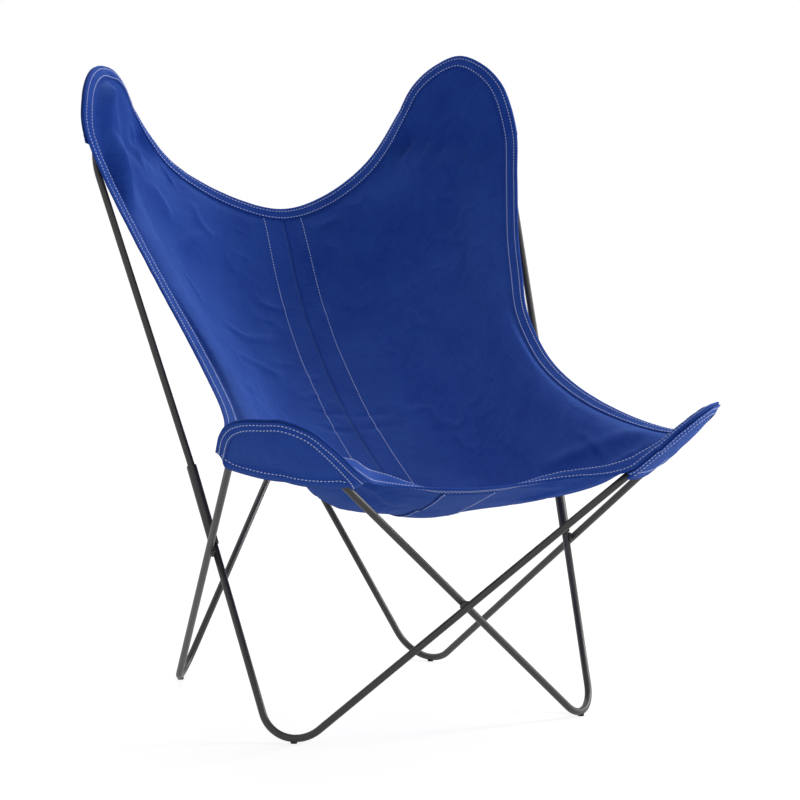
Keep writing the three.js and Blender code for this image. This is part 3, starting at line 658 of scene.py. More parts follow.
BASE_ROD = ("side_sleeve", "front_floor", "front_corner", "back_floor", "back_sleeve")
UPRIGHT = ("side_sleeve", "side_joint", "side_bow", "crown", "back_bow", "back_sleeve")
SLEEVE_END = (
    (ROD_RADIUS + CLEARANCE, 0.0), (SLEEVE_RADIUS - SLEEVE_CHAMFER, 0.0),
    (SLEEVE_RADIUS - SLEEVE_CHAMFER / 4, SLEEVE_CHAMFER / 3), (SLEEVE_RADIUS, SLEEVE_CHAMFER),
)
SLEEVE_PROFILE = [(r, z - SLEEVE_LENGTH / 2) for r, z in SLEEVE_END]
SLEEVE_PROFILE += [(r, -z) for r, z in SLEEVE_PROFILE[::-1]]
ROD_LINES = []
for side, loop in LOOPS.items():
    crown = SIDE_NAME[-side]
    for name, names in ((f"front_{SIDE_NAME[side]}_base_rod", BASE_ROD), (f"{crown}_back_upright", UPRIGHT)):
        ROD_LINES.append(rod_line(loop, names))
        make_piece(name + "_bar", *tube(ROD_LINES[-1], ROD_RADIUS, ROD_SIDES), steel, "frame_steel", name)
    for kind, foot, head in (("side", "front_floor", "side_joint"), ("back", "back_floor", "back_bow")):
        sleeve = lathe(SLEEVE_PROFILE, loop[f"{kind}_sleeve"], unit(loop[head] - loop[foot]), SLEEVE_SIDES)
        make_piece(f"{crown}_{kind}_sleeve_tube", *sleeve, steel, "frame_steel", f"{crown}_{kind}_sleeve")

WELD_RADIUS = 7.5
WELD_HALF_THICKNESS = 4.5
WELD_ROUNDNESS = 0.7
WELD_RIPPLES, WELD_RIPPLE, WELD_RIPPLE_BOW = 11, 0.05, 1.5
WELD_LUMP = 0.06
WELD_AROUND, WELD_RINGS = 66, 14


def nearest_points(a0, a1, b0, b1):
    """Points where two lines pass closest."""
    u, v = unit(a1 - a0), unit(b1 - b0)
    w = a0 - b0
    uv = np.dot(u, v)
    s = (uv * np.dot(v, w) - np.dot(u, w)) / (1 - uv * uv)
    return a0 + u * s, b0 + v * (np.dot(v, w) + s * uv)


def weld_bead(name, line_a, line_b):
    """Rippled bead in the crook of two crossing rods."""
    on_a, on_b = nearest_points(*line_a, *line_b)
    middle, through = (on_a + on_b) / 2, unit(on_b - on_a)
    side = unit(line_a[1] - line_a[0])
    side = unit(side - through * np.dot(side, through))
    other = np.cross(through, side)
    points = [middle - through * WELD_HALF_THICKNESS]
    for ring in range(1, WELD_RINGS):
        tilt = math.pi * ring / WELD_RINGS
        for step in range(WELD_AROUND):
            angle = 2 * math.pi * step / WELD_AROUND
            wave = math.sin(WELD_RIPPLES * angle + WELD_RIPPLE_BOW * math.cos(tilt)) ** 3
            ripple = 1 + WELD_RIPPLE * math.sin(tilt) * wave
            lump = 1 + WELD_LUMP * noise.noise(Vector((2 * math.cos(angle), 2 * math.sin(angle), 3 * tilt)))
            radius = WELD_RADIUS * math.sin(tilt) ** WELD_ROUNDNESS * ripple * lump
            flat = side * math.cos(angle) + other * math.sin(angle)
            points.append(middle - through * WELD_HALF_THICKNESS * math.cos(tilt) + flat * radius)
    last = len(points)
    points.append(middle + through * WELD_HALF_THICKNESS)
    steps = [(step, (step + 1) % WELD_AROUND) for step in range(WELD_AROUND)]
    faces = [(0, 1 + after, 1 + step) for step, after in steps]
    faces += [(last, last - WELD_AROUND + step, last - WELD_AROUND + after) for step, after in steps]
    faces += (ring_quads(WELD_RINGS - 1, WELD_AROUND) + 1).tolist()
    make_piece(name + "_bead", np.array(points), faces, steel, "frame_steel", name)


def loop_line(side, start, end):
    return LOOPS[side][start], LOOPS[side][end]


weld_bead("front_weld", *(loop_line(side, "front_corner", "front_floor") for side in SIDES))
weld_bead("back_weld", *(loop_line(side, "back_floor", "back_bow") for side in SIDES))
for side in SIDES:
    weld_bead(f"{SIDE_NAME[side]}_side_weld", loop_line(side, "front_corner", "back_floor"),
              loop_line(-side, "front_floor", "side_joint"))

for name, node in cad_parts.items():
    if name.endswith("_glide"):
        node.data.materials.clear()
        node.data.materials.append(plastic)


# Sling pieces

TAPE = 1.0
LAYER_GAP = 0.15
LAYER = (CANVAS + TAPE) / 2 + LAYER_GAP
SEAM_DIP = 0.5
SMOOTH_PASSES, SMOOTH_RATE = 8, 0.5
# Least distance of the cloth's middle from a rod's centre line
CLEAR_OF_ROD = ROD_RADIUS + CLEARANCE + CANVAS / 2
CLEAR_SPARE, CLEAR_LIMIT, CLEAR_SLOPE = 1, 8, 1e-3


def clear_rods(points, directions, gap):
    """Moves points that lie too near a rod's centre line along their directions until they clear it."""
    gap = np.broadcast_to(gap, (len(points),))
    for line in ROD_LINES:
        for start, step in zip(line[:-1], np.diff(line, axis=0)):
            length = np.linalg.norm(step)
            along = step / length
            place = (points - start) @ along
            aside = points - start - np.outer(place, along)
            beside = (place > -CLEAR_SPARE) & (place < length + CLEAR_SPARE)
            near = beside & (np.linalg.norm(aside, axis=1) < gap)
            if near.any():
                way, aside = directions[near], aside[near]
                slope = way - np.outer(way @ along, along)
                a, b = (slope * slope).sum(1), (aside * slope).sum(1)
                c = (aside * aside).sum(1) - gap[near] ** 2
                move = (np.sqrt(np.maximum(b * b - a * c, 0)) - b) / np.maximum(a, CLEAR_SLOPE)
                points[near] += way * np.clip(move, 0, CLEAR_LIMIT)[:, None]


def across(surface, inset, sign=1, lift=0.0):
    """Line round half the sling at a distance from its cut edge, lifted off the cloth, with its normals."""
    place = (1 - inset / BINDING_WIDTH) * BAND_FINE
    low = min(int(place), BAND_FINE - 1)
    share = place - low
    a, b = surface.levels[low], surface.levels[low + 1]
    points = surface.points[a] * (1 - share) + surface.points[b] * share
    normals = units(surface.normals[a] * (1 - share) + surface.normals[b] * share)
    return points + normals * sign * lift, normals * sign


def whole(line):
    """Joins the lines of the two halves into one round the sling, from the front centre past the left and right."""
    return np.vstack([line[LEFT][::-1], line[RIGHT][1:]])


def grid_uv(down, out):
    return np.stack(np.meshgrid(down, out, indexing="ij"), -1).reshape(-1, 2)


def sheet_piece(name, node, points, quads, uv, thickness=TAPE, hem=0.0):
    """Closed sheet over a middle surface, thicker on its under side where it has a hem."""
    normals = vertex_normals(points, quads)
    n = len(points)
    forward = set(zip(quads.ravel().tolist(), np.roll(quads, -1, axis=1).ravel().tolist()))
    rim = np.array([(j, i, i + n, j + n) for i, j in sorted(forward) if (j, i) not in forward])
    faces = np.vstack([quads, quads[:, ::-1] + n, rim])
    under = np.broadcast_to(thickness / 2 + hem, (n,))[:, None]
    solid = np.vstack([points + normals * (thickness / 2), points - normals * under])
    return make_piece(name, solid, faces, canvas, "canvas", node, np.vstack([uv, uv]))


# Folds of the hanging cloth: places on each half as (x, y, z) from the centre out, height, width on the outer and
# the inner side, and the share over which the fold rises where it isn't the usual one
BOTH_FOLDS = (
    (((300, -345, 408), (240, -285, 372), (170, -200, 332)), 5.0, 16, 16),
)
FOLDS = {
    LEFT: (
        (((312, 248, 900), (311, 236, 850), (308, 221, 803), (304, 197, 762), (300, 168, 720), (292, 140, 680)),
         24.0, 44, 26, 0.15),
        (((240, 312, 828), (234, 312, 803), (234, 295, 780), (235, 280, 762), (232, 262, 735)), 4.2, 7, 8),
        (((190, 322, 764), (181, 308, 740), (174, 298, 720)), 3.1, 6, 5),
        (((285, 110, 646), (263, 128, 646), (182, 243, 646), (133, 269, 655), (94, 290, 665)), 3.1, 13, 9),
        (((199, 196, 604), (184, 183, 574), (175, 168, 552)), 2.2, 6, 6),
        (((150, 176, 540), (135, 164, 518), (114, 164, 506), (85, 171, 502), (55, 183, 508)), 3.6, 9, 7),
        (((228, -66, 476), (165, 32, 445), (115, 53, 417)), 3.6, 9, 7),
        (((240, -124, 450), (200, -80, 425), (150, -30, 395)), 3.4, 9, 8),
        (((153, 117, 492), (104, 123, 464), (65, 112, 447)), 2.5, 8, 7),
        (((232, 262, 735), (206, 259, 702), (196, 248, 670)), 3.4, 14, 9),
        (((149, 297, 706), (143, 277, 673), (122, 268, 646)), 2.5, 9, 7),
        (((76, 224, 558), (45, 216, 543), (20, 220, 547)), 2.0, 7, 7),
        (((165, -365, 343), (115, -340, 322), (62, -300, 305)), -6.2, 9, 11),
        (((150, -335, 326), (100, -295, 306), (66, -255, 296)), -5.4, 8, 10),
        (((46, -368, 333), (43, -320, 315), (40, -265, 298)), -4.6, 7, 7),
        (((60, 62, 405), (30, 55, 399), (-6, 52, 398)), -2.8, 7, 6),
        (((60, 24, 385), (30, 18, 379), (-6, 17, 377)), -2.5, 7, 6),
    ),
    RIGHT: (
        (((288, 274, 866), (250, 256, 760), (218, 238, 655)), 5.0, 20, 20),
        (((223, -226, 392), (228, -264, 382), (230, -292, 369), (228, -325, 357)), 2.4, 7, 8),
        (((216, -319, 350), (247, -345, 367), (282, -351, 386)), 3.0, 8, 9),
        (((60, -362, 331), (110, -348, 328), (165, -325, 332)), -5.0, 8, 9),
        (((190, -350, 346), (140, -318, 320), (90, -290, 306)), -4.6, 8, 9),
        (((-6, 48, 396), (30, 46, 395), (74, 48, 400)), -2.0, 7, 6),
        (((-6, 16, 377), (35, 20, 381), (78, 26, 387)), -1.8, 7, 6),
        (((50, 222, 548), (90, 212, 541), (130, 222, 560)), 1.0, 9, 8),
    ),
}
FOLD_FADE = 0.3
FOLD_STEPS = 6
CREST = 1.4
# Folds and swells fade towards the binding, and partly towards the centre seam
EDGE_CALM = 26
SEAM_CALM, SEAM_SHARE = 12, 0.8
EDGE_DIP, EDGE_DIP_START, EDGE_DIP_REACH = 1.0, 3, 9.0
# Roll of the front hem: height, reach into the cloth, where it starts, stands full and ends from the centre, and
# how soon it is full across the binding
ROLL = {LEFT: 18.0, RIGHT: 11.0}
ROLL_REACH = 42.0
ROLL_ENDS = (35.0, 140.0, 185.0, 235.0)
ROLL_EASE = 1.15
# Where the right side edge is drawn in, by how much, and how far that reaches
PULL_PLACE, PULL, PULL_REACH = (273, 8, 553), 5.0, 52.0
# Sag of the cloth inside a corner's bend: depth, distance kept from the rod, ease, and how far past the mouth it ends
CORNER_SAG, SAG_RIM, SAG_EASE, SAG_END = 4.0, 4, 1.6, 60
# Size of each kind of unevenness and a seed to draw it by; creases are drawn out, narrow, and come in patches
SWELL, SWELL_SIZE, SWELL_SEED = 1.8, 75.0, 3.1
CREASE, CREASE_SIZE, CREASE_SEED, CREASE_DRAWN, CREASE_WIDTH = 2.0, 36.0, 7.7, 0.7, 0.09
PATCH_SIZE, PATCH_SEED, PATCH_SHARE = 130, 1.7, 0.35
PUCKER, PUCKER_PITCH, PUCKER_SEED, PUCKER_ENDS = 0.35, 13.0, 9.3, 10


def smoothstep(x):
    x = np.clip(x, 0, 1)
    return x * x * (3 - 2 * x)


def bell(x, sharpness=1.0):
    return np.exp(-x ** 2 * sharpness)


def uneven(places, size, seed, drawn=1.0):
    return np.array([noise.noise(Vector((u / size, v / size * drawn, seed))) for u, v in places])


def fold_heights(points, normals, side, line, height, outer, inner, start=FOLD_FADE):
    """Height of one fold at each point: a rounded crest along a line, fading towards its ends."""
    line = np.array(line, float) * (side, 1, 1)
    line = curve(line, np.linspace(0, len(line) - 1, FOLD_STEPS * (len(line) - 1) + 1))
    along = length_along(line) / length_along(line)[-1]
    best = np.full(len(points), FAR)
    place, beside = np.zeros((2, len(points)))
    for k, step in enumerate(np.diff(line, axis=0)):
        share = np.clip((points - line[k]) @ step / (step @ step), 0, 1)
        gap = points - (line[k] + share[:, None] * step)
        far = np.linalg.norm(gap, axis=1)
        near = far < best
        best[near] = far[near]
        place[near] = along[k] + share[near] * (along[k + 1] - along[k])
        beside[near] = (np.cross(step, gap) * normals).sum(1)[near] * side
    # A line that runs down or in from the outer edge has its outer side where this is positive
    width = np.where(beside > 0, outer, inner)
    return height * smoothstep(place / start) * smoothstep((1 - place) / FOLD_FADE) * bell(best / width, CREST)


def roll_heights(surface, points):
    """Rise of the front hem's inner side beside a corner, where the hem tips forward."""
    front = sum(surface.grid_shape) - 2
    near = np.full(len(points), FAR)
    place = np.zeros(len(points))
    for point in points[surface.levels[0][front:]]:
        far = np.linalg.norm(points - point, axis=1)
        place = np.where(far < near, abs(point[0]), place)
        near = np.minimum(far, near)
    start, full, last, end = ROLL_ENDS
    along = smoothstep((place - start) / (full - start)) * smoothstep((end - place) / (end - last))
    across_hem = bell(near / ROLL_REACH, CREST)
    for step, level in enumerate(surface.levels):
        across_hem[level[front:]] = smoothstep((1 - step / BAND_FINE) * ROLL_EASE)
    return ROLL[surface.side] * along * across_hem


def shape_cloth(surface):
    """Adds folds, soft swells and small creases to half the sling, and draws it in beside the edge binding."""
    side, points, uv = surface.side, surface.points, surface.uv
    normals = vertex_normals(points, surface.quads)
    grid = points[surface.number]
    top, out = grid_lengths(grid, 0), grid_lengths(grid[:, ::-1], 1)[:, ::-1]
    from_edge = np.zeros(len(points))
    from_edge[surface.number.ravel()] = np.minimum(np.minimum(top, top[-1] - top), out).ravel()
    move = np.zeros(len(points))
    for fold in BOTH_FOLDS + FOLDS[side]:
        move += fold_heights(points, normals, side, *fold)
    crumple = uneven(uv, CREASE_SIZE, CREASE_SEED * side, CREASE_DRAWN)
    patches = np.clip(uneven(uv, PATCH_SIZE, PATCH_SEED * side) + PATCH_SHARE, 0, 1)
    move += SWELL * uneven(uv, SWELL_SIZE, SWELL_SEED * side) + CREASE * patches * bell(crumple / CREASE_WIDTH)
    for lobe in LOBES[side].values():
        flat = points - lobe.center
        depth = np.linalg.norm(flat - np.outer(flat @ lobe.normal, lobe.normal), axis=1)
        reach = np.clip(1 - depth / (lobe.radius - SAG_RIM), 0, 1)
        past = (points - lobe.mouth) @ lobe.past_mouth
        move -= CORNER_SAG * smoothstep(reach * SAG_EASE) * (past < SAG_END)
    centre = smoothstep(np.abs(points[:, 0]) / SEAM_CALM) * SEAM_SHARE + (1 - SEAM_SHARE)
    move *= smoothstep(from_edge / EDGE_CALM) * centre
    dip = smoothstep(from_edge / EDGE_DIP_START) * bell(from_edge / EDGE_DIP_REACH) * (from_edge > 0)
    surface.points = points + normals * (move - EDGE_DIP * dip)[:, None]
    surface.points[:, 2] += roll_heights(surface, points)
    if side == RIGHT:
        surface.points[:, 0] -= PULL * bell(np.linalg.norm(points - PULL_PLACE, axis=1) / PULL_REACH)
    line = length_along(surface.points[surface.levels[-1]])
    wave = uneven([(place, PUCKER_PITCH / 2) for place in line], PUCKER_PITCH, PUCKER_SEED * side)
    number = np.arange(len(line))
    wave *= PUCKER * smoothstep(np.minimum(number, number[::-1]) / PUCKER_ENDS)
    for level in surface.levels:
        surface.points[level] += normals[level] * wave[:, None]
    gap = np.full(len(points), CLEAR_OF_ROD)
    gap[surface.levels.ravel()] = ROD_RADIUS + CLEARANCE + LAYER + TAPE / 2
    clear_rods(surface.points, normals, gap)
    surface.normals = vertex_normals(surface.points, surface.quads)


surfaces = {side: Surface(side) for side in SIDES}
for side, surface in surfaces.items():
    free = np.ones(len(surface.points), bool)
    free[surface.levels[-1]] = free[surface.middle] = False
    smooth(surface.points, surface.quads, free, SMOOTH_PASSES, SMOOTH_RATE)
    surface.lay_out()
    shape_cloth(surface)
    points = surface.points.copy()
    points[surface.middle] -= surface.normals[surface.middle] * SEAM_DIP
    points[surface.middle, 0] = side * CLEARANCE / 2
    name = f"{SIDE_NAME[side]}_panel"
    sheet_piece(name + "_cloth", name, points, surface.quads, surface.uv, CANVAS)


# Edge binding: along the upper face, over the cut edge and back under it

HEM_BACK = 14.0
TURN_STEPS = 4
OUTWARD_REACH = 3.0


def binding_profile(surface):
    """Lines of the binding's middle surface, from its upper inner edge round the cut edge to its lower one."""
    edge, normals = across(surface, 0.0)
    outward = units(edge - across(surface, OUTWARD_REACH)[0])
    angles = [math.pi * step / TURN_STEPS for step in range(1, TURN_STEPS)]
    return np.stack([
        *(across(surface, inset, 1, LAYER)[0] for inset in np.linspace(BINDING_WIDTH, 0, BAND_FINE + 1)),
        *(edge + (normals * math.cos(angle) + outward * math.sin(angle)) * LAYER for angle in angles),
        *(across(surface, inset, -1, LAYER)[0] for inset in np.linspace(0, HEM_BACK, BAND_FINE)),
    ], axis=1)


ring = whole({side: binding_profile(surface) for side, surface in surfaces.items()})[:-1]
quads = quads_of(numbers_of(*ring.shape[:2], 1))[:, ::-1]
uv = grid_uv(length_along(ring[:, 0]), length_along(ring[0]))
binding = sheet_piece("edge_binding_tape", "edge_binding", ring.reshape(-1, 3), quads, uv)


# Centre strip under the seam

STRIP_HALF_TOP, STRIP_HALF_FRONT = 34.0, 40.0
STRIP_COLUMNS = 9


def strip_lines(surface):
    """Rows of points from the seam out to the strip's edge, from the top edge to the front edge."""
    columns = surface.grid_shape[1]
    # The strip ends where the binding's lower side begins
    lines = [surface.levels[1][:columns], *surface.number, surface.levels[1][::-1][:columns]]
    rows = []
    for half, numbers in zip(np.linspace(STRIP_HALF_TOP, STRIP_HALF_FRONT, len(lines)), lines):
        points = surface.points[numbers] - surface.normals[numbers] * (LAYER + SEAM_DIP)
        rows.append(read(np.linspace(0, half, STRIP_COLUMNS), np.maximum.accumulate(abs(points[:, 0])), points))
    return np.array(rows)


strip = np.concatenate([strip_lines(surfaces[LEFT])[:, :0:-1], strip_lines(surfaces[RIGHT])], axis=1)
rows, columns = strip.shape[:2]
uv = grid_uv(length_along(strip[:, columns // 2]), strip[rows // 2, :, 0])[:, ::-1]
quads = quads_of(numbers_of(rows, columns))
centre_strip = sheet_piece("centre_strip_tape", "centre_strip", strip.reshape(-1, 3), quads, uv)


# Corner pockets, with the band sewn over each of them on the outer face

POCKET_END = 14.0
POCKET_INSIDE = 17.0
POCKET_INSET = 1.0
POCKET_STATIONS = 41
# Rows of a pocket: down its wrapped edge, closer where it is shallow, over its middle, and on its hem
WRAP_ROWS, WRAP_DEPTH = np.array((0, 2, 4, 7, 10, 14)), 40
MIDDLE_ROWS, HEM_ROWS = 5, 3
HEM_STEP, HEM_THICKNESS = 0.8, 0.9
# How far a front mouth lies past the pocket run, on the start leg and on the end leg
MOUTH_DROP = (16.0, 9.0)
BACK_MOUTH_DROP = 8.0
MOUTH_BOW, MOUTH_BOW_LEAN = 4.5, 1.5
MOUTH_HEM = {"back": 12.0, "front": 17.0}
MOUTH_EXTRA = {LEFT: 0.0, RIGHT: 13.0}
POCKET_BULGE, BULGE_ROUNDNESS = {"back": -1.5, "front": 7.0}, 0.7
BAND_EXTRA = {LEFT: 18.0, RIGHT: 0.0}
BAND_WIDTH = {"back": BINDING_WIDTH, "front": 14.5}
BAND_OVERHANG = 1.0
BAND_STATIONS, BAND_COLUMNS = 81, 9
# How far past a pocket's ends the cut edge can still be the nearest
EDGE_SPARE = 30


def facing(grid, way):
    """Faces of a grid of points, turned the given way."""
    quads = quads_of(numbers_of(*grid.shape[:2]))
    return quads if np.dot(vertex_normals(grid.reshape(-1, 3), quads).mean(0), way) >= 0 else quads[:, ::-1]


class Corner:
    """One corner of the sling: its stations along the cut edge, the pocket behind it and the outer band."""

    def __init__(self, side, kind):
        self.name = f"{kind}_{SIDE_NAME[side]}"
        self.side, self.kind = side, kind
        self.lobe = LOBES[side][kind]
        self.surface = surfaces[side]
        rows, columns = self.surface.grid_shape
        tip = columns - 1 if kind == "back" else columns + rows - 2
        edge = self.surface.points[self.surface.levels[-1]]
        along = length_along(edge)
        self.along = along - along[tip]
        self.edge_height = self.lobe.height(edge)
        half = (self.lobe.radius + CORNER_MARGIN) * self.lobe.sweep / 2
        # Ring order runs from the start leg to the end leg on a back corner, and back on a front one
        before, after = BAND_RUNS[kind]
        extra = 0
        if kind == "front":
            before, after, extra = after, before + MOUTH_EXTRA[side], BAND_EXTRA[side]
        self.ends = (-half - before, half + after)
        self.band_ends = (self.ends[0], self.ends[1] + extra)
        near = (self.along > self.ends[0] - EDGE_SPARE) & (self.along < self.ends[1] + EDGE_SPARE)
        self.flat_edge = edge[near] - np.outer(self.edge_height[near], self.lobe.normal)

    def flat(self, point, height=0):
        return point + self.lobe.normal * (height - self.lobe.height(point))

    def drop(self, inset, place):
        """Height of the pocket's middle at a distance from a place on the cut edge."""
        edge_height = np.interp(place, self.along, self.edge_height)
        share = smoothstep(inset / POCKET_WRAP)
        return (edge_height - 2 * LAYER) * (1 - share) - self.lobe.lift * share

    def at(self, place, inset):
        return read(place, self.along, across(self.surface, inset)[0])

    def from_edge(self, point):
        """Distance of a point from the cut edge, seen square to the corner's plane."""
        steps = np.diff(self.flat_edge, axis=0)
        gap = self.flat(point) - self.flat_edge[:-1]
        share = np.clip((gap * steps).sum(1) / (steps * steps).sum(1), 0, 1)
        return np.linalg.norm(gap - steps * share[:, None], axis=1).min()

    def mouth_ends(self):
        lobe, legs = self.lobe, (self.lobe.to_before, self.lobe.to_after)
        if self.kind == "back":
            ends = [self.at(end, POCKET_INSIDE) + leg * BACK_MOUTH_DROP for end, leg in zip(self.ends, legs)]
        else:
            ends = []
            for share in (1, 0):
                reach = lobe.radius + lobe.margin(share) - POCKET_INSIDE
                run = POCKET_RUNS["front"][share] + MOUTH_DROP[share] + MOUTH_EXTRA[self.side] * (1 - share)
                ends.append(lobe.center + lobe.spoke(share) * reach + legs[share] * run)
        return [self.flat(end, -lobe.lift) for end in ends]

    def pocket(self):
        """Points of the pocket's middle surface, by stations along the cut edge and rows down to the mouth."""
        start, end = self.mouth_ends()
        grid = []
        places = np.linspace(self.ends[0] + POCKET_END, self.ends[1] - POCKET_END, POCKET_STATIONS)
        for index, place in enumerate(places):
            share = index / (POCKET_STATIONS - 1)
            edge = self.at(place, POCKET_INSET)
            bow = MOUTH_BOW * math.sin(math.pi * share ** MOUTH_BOW_LEAN)
            run = self.flat(start + (end - start) * share + self.lobe.past_mouth * bow) - self.flat(edge)
            length = np.linalg.norm(run)
            wraps = WRAP_ROWS * min(1, length / WRAP_DEPTH)
            hem = min(MOUTH_HEM[self.kind], length / 3)
            middle = np.linspace(wraps[-1], length - hem, MIDDLE_ROWS + 1)[1:]
            swell = POCKET_BULGE[self.kind] * math.sin(math.pi * share) ** BULGE_ROUNDNESS
            for step in (*wraps, *middle, length - (hem - HEM_STEP), length - hem / 2, length):
                base = self.flat(edge + run / length * step)
                step = min(step, max(self.from_edge(base) - POCKET_INSET, 0.0))
                past_wrap = np.clip((step - POCKET_WRAP) / max(length - POCKET_WRAP, 1), 0, 1)
                grid.append(self.flat(base, self.drop(step, place) - swell * math.sin(math.pi * past_wrap)))
        return np.array(grid).reshape(POCKET_STATIONS, -1, 3)

    def band(self):
        """Points of the band's middle surface, by stations along the cut edge and columns across."""
        self.insets = np.linspace(-BAND_OVERHANG, BAND_WIDTH[self.kind], BAND_COLUMNS)
        grid = []
        for place in np.linspace(*self.band_ends, BAND_STATIONS):
            for inset in self.insets:
                base = self.at(place, max(inset, 0))
                if inset < 0:
                    base = base * 2 - self.at(place, -inset)
                grid.append(self.flat(base, self.drop(max(inset, 0), place) - LAYER))
        return np.array(grid).reshape(BAND_STATIONS, BAND_COLUMNS, 3)

    def keep_clear(self, grid, gap):
        """Moves a grid of cloth off the rods, and returns its points with faces turned to the sitter."""
        points = grid.reshape(-1, 3)
        clear_rods(points, np.tile(-self.lobe.normal, (len(points), 1)), gap)
        return points, facing(grid, self.lobe.normal)

    def build(self):
        self.pocket_grid, self.band_grid = self.pocket(), self.band()
        points, quads = self.keep_clear(self.pocket_grid, CLEAR_OF_ROD)
        axes = np.stack([np.cross(self.lobe.normal, self.lobe.inward), self.lobe.inward], 1)
        uv = (points - self.lobe.center) @ axes
        rows = self.pocket_grid.shape[1]
        hem = np.tile(np.arange(rows) >= rows - HEM_ROWS, POCKET_STATIONS) * HEM_THICKNESS
        name = f"{self.name}_pocket"
        pocket = sheet_piece(name + "_cloth", name, points, quads, uv, CANVAS, hem)
        points, quads = self.keep_clear(self.band_grid, CLEAR_OF_ROD + LAYER)
        middle = self.band_grid[:, BAND_COLUMNS // 2], self.band_grid[BAND_STATIONS // 2]
        uv = grid_uv(*map(length_along, middle))
        self.pieces = [pocket, sheet_piece(f"{self.name}_band", "edge_binding", points, quads, uv)]


corners = [Corner(side, kind) for side in SIDES for kind in LOBE_POINTS]
for corner in corners:
    corner.build()


# Stitches

THREAD_RADIUS = 0.65
STITCH_PITCH = 5.0
STITCH_LENGTH = 3.5
STITCH_SIDES = 6
# Rings of a stitch: place along it, size and rise off the cloth
STITCH_RINGS = ((-0.5, 0.35, -0.8), (-0.36, 0.95, -0.25), (0.0, 1.0, 0.0), (0.36, 0.95, -0.25), (0.5, 0.35, -0.8))


def stitch_row(points, normals):
    """Short thread capsules evenly along a line, each bowed a little off the cloth and dipping in at its ends."""
    along = length_along(points)
    count = max(int(along[-1] / STITCH_PITCH), 1)
    places = (np.arange(count) + 0.5) * along[-1] / count
    before, middle, after = (read(places + shift * STITCH_LENGTH / 2, along, points) for shift in (-1, 0, 1))
    tangent = units(after - before)
    up = read(places, along, normals)
    up = units(up - tangent * (up * tangent).sum(1)[:, None])
    aside = np.cross(tangent, up)
    rings = []
    for place, size, rise in STITCH_RINGS:
        radius = THREAD_RADIUS * size
        for side in range(STITCH_SIDES):
            angle = 2 * math.pi * side / STITCH_SIDES
            rings.append(middle + tangent * place * STITCH_LENGTH
                         + up * (radius * math.sin(angle) + rise * THREAD_RADIUS) + aside * radius * math.cos(angle))
    base = np.arange(STITCH_SIDES)
    ends = np.array([base[::-1], base + len(rings) - STITCH_SIDES])
    offset = np.arange(count)[:, None, None] * len(rings)
    faces = (part + offset for part in (ring_quads(len(STITCH_RINGS), STITCH_SIDES), ends))
    return np.stack(rings, 1).reshape(-1, 3), [part.reshape(-1, part.shape[-1]) for part in faces]


def stitch_piece(name, rows):
    points, faces, total = [], [], 0
    for line, normals in rows:
        verts, parts = stitch_row(line, normals)
        points.append(verts)
        for part in parts:
            faces += (part + total).tolist()
        total += len(verts)
    return make_piece(name, np.vstack(points), faces, thread, "canvas")


OUTER_ROW = 4.0
INNER_ROW = 15.5
UNDER_ROW = 11.0
ON_TAPE = LAYER + TAPE / 2
CENTRE_ROW_TOP = 30.0
CENTRE_ROW_FRONT = 36.0
MOUTH_ROW_RISE = 0.7
# Stations of the band that a row crosses near its ends
BAND_END_ROWS = {"back": (2, -3), "front": (2,)}
# The mouth's row runs up near the pocket's first end to meet the band, and along the hem
MOUTH_ROW = (np.s_[2, 6:-4], np.s_[4:-2, -3])

edge_rows = []
for inset, sign in ((OUTER_ROW, 1), (INNER_ROW, 1), (OUTER_ROW, -1), (UNDER_ROW, -1)):
    lines = {side: across(surface, inset, sign, ON_TAPE) for side, surface in surfaces.items()}
    edge_rows.append([whole({side: line[part] for side, line in lines.items()}) for part in (0, 1)])
edge_stitches = stitch_piece("edge_stitches", edge_rows)


def centre_row(surface, sign):
    """Line down the sling beside its centre seam."""
    points, normals = [], []
    for row, numbers in enumerate(surface.number):
        share = row / (len(surface.number) - 1)
        target = CENTRE_ROW_TOP + (CENTRE_ROW_FRONT - CENTRE_ROW_TOP) * share
        x = abs(surface.points[numbers, 0])
        points.append(read(target, x, surface.points[numbers]))
        normals.append(read(target, x, surface.normals[numbers]))
    normals = units(np.array(normals))
    height = CANVAS / 2 if sign > 0 else ON_TAPE + SEAM_DIP
    return np.array(points) + normals * sign * height, normals * sign


centre_rows = [centre_row(surface, sign) for surface in surfaces.values() for sign in (1, -1)]
centre_stitches = stitch_piece("centre_stitches", centre_rows)


def outer_normals(corner, grid):
    return vertex_normals(grid.reshape(-1, 3), facing(grid, -corner.lobe.normal)).reshape(grid.shape)


for corner in corners:
    rows = []
    grid = corner.band_grid
    normals = outer_normals(corner, grid)
    for inset in (OUTER_ROW, BAND_WIDTH[corner.kind] - BINDING_WIDTH + INNER_ROW):
        line, normal = (np.array([read(inset, corner.insets, row) for row in values]) for values in (grid, normals))
        rows.append((line + normal * TAPE / 2, normal))
    for station in BAND_END_ROWS[corner.kind]:
        normal = normals[station, 1:-1]
        rows.append((grid[station, 1:-1] + normal * TAPE / 2, normal))
    line, normal = (np.concatenate([values[part] for part in MOUTH_ROW])
                    for values in (corner.pocket_grid, outer_normals(corner, corner.pocket_grid)))
    rows.append((line + normal * (CANVAS / 2 + MOUTH_ROW_RISE), normal))
    corner.pieces.append(stitch_piece(f"{corner.name}_stitches", rows))


# Names of the rod pieces
RODS = [f"front_{name}_base_rod_bar" for name in SIDE_NAME.values()]
RODS += [f"{name}_back_upright_bar" for name in SIDE_NAME.values()]


# Stage, light and camera

WHITE = (1, 1, 1, 1)
WORLD_LIGHT = 0.42
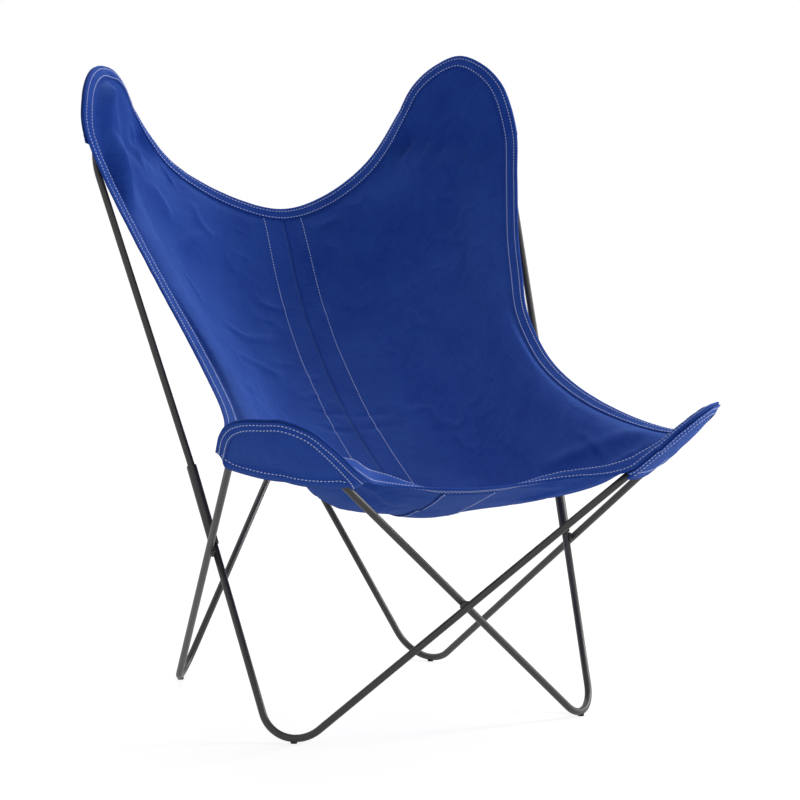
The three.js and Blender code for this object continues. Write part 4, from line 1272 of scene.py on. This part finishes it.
# Floor's own light, near the chair and far from it, and where it changes
FLOOR_GLOW = (0.84, 0.95)
FLOOR_GLOW_ENDS = (0.9, 4.0)
FLOOR_BOUNCE = (0.92, 0.92, 0.92, 1)
FLOOR_REACH = 60.0


def seen_directly(n):
    """1 for rays that the camera, a gloss or clear material sees by, 0 for the rest."""
    path = n.add("ShaderNodeLightPath")
    total = path.outputs["Is Camera Ray"]
    for name in ("Is Glossy Ray", "Is Transmission Ray"):
        total = n.math("MAXIMUM", total, path.outputs[name])
    return total


def floor_material():
    """White floor that still takes the chair's soft shadow."""
    n = new_material("white_floor")
    n.tree.nodes.remove(n.tree.nodes["Principled BSDF"])
    tone = n.ramp(n.noise(n.place(), 3.0, 4.0), (0.3, (0.24, 0.24, 0.24)), (0.7, (0.26, 0.26, 0.26)))
    bounce, shade = (n.add("ShaderNodeBsdfDiffuse", Color=color).outputs[0] for color in (FLOOR_BOUNCE, tone))
    place = n.add("ShaderNodeNewGeometry").outputs["Position"]
    away = n.add("ShaderNodeVectorMath", {"operation": "LENGTH"}, Vector=place).outputs["Value"]
    strength = n.between(away, *FLOOR_GLOW, *FLOOR_GLOW_ENDS)
    glow = n.add("ShaderNodeEmission", Color=WHITE, Strength=strength).outputs[0]
    seen = n.join("ShaderNodeAddShader", shade, glow)
    mix = n.join("ShaderNodeMixShader", seen_directly(n), bounce, seen)
    n.set(n.tree.nodes["Material Output"], Surface=mix)
    return n.owner


floor_mesh = bpy.data.meshes.new("floor")
floor_mesh.from_pydata([(-1, -1, 0), (1, -1, 0), (1, 1, 0), (-1, 1, 0)], [], [(0, 1, 2, 3)])
floor_mesh.materials.append(floor_material())
floor = link("floor", floor_mesh)
floor.scale = (FLOOR_REACH, FLOOR_REACH, 1)


def soft_light(name, place, target, size, power):
    data = bpy.data.lights.new(name, "AREA")
    data.shape = "DISK"
    data.size = size
    data.energy = power
    light = link(name, data)
    light.location = place
    light.rotation_euler = (Vector(target) - Vector(place)).to_track_quat("-Z", "Y").to_euler()


soft_light("key_light", (3.0, -0.55, 1.45), (-0.1, 0.1, 0.55), 0.8, 70.0)
soft_light("fill_light", (-1.6, -2.6, 1.6), (0.0, 0.0, 0.5), 2.0, 8.0)
soft_light("back_light", (0.4, 1.7, 2.8), (0.0, -0.15, 0.4), 1.2, 34.0)

CAMERA_PLACE = (-1.49874, -3.48770, 0.73751)
CAMERA_AZIMUTH = math.radians(-23.76)
CAMERA_ELEVATION = math.radians(4.67)
CAMERA_LENS = 121.953
CAMERA_SENSOR = 36

camera_data = bpy.data.cameras.new("camera")
camera_data.lens = CAMERA_LENS
camera_data.sensor_width = CAMERA_SENSOR
camera = link("camera", camera_data)
camera.location = CAMERA_PLACE
forward = Vector((-math.sin(CAMERA_AZIMUTH) * math.cos(CAMERA_ELEVATION),
                  math.cos(CAMERA_AZIMUTH) * math.cos(CAMERA_ELEVATION), -math.sin(CAMERA_ELEVATION)))
camera.rotation_euler = forward.to_track_quat("-Z", "Y").to_euler()
SCENE.camera = camera
SCENE.view_settings.view_transform = "Standard"

SCENE.world = bpy.data.worlds.new("studio")
sky = Nodes(SCENE.world)
sky.set(sky.tree.nodes["Background"], Color=WHITE, Strength=sky.between(seen_directly(sky), WORLD_LIGHT, 1.0))
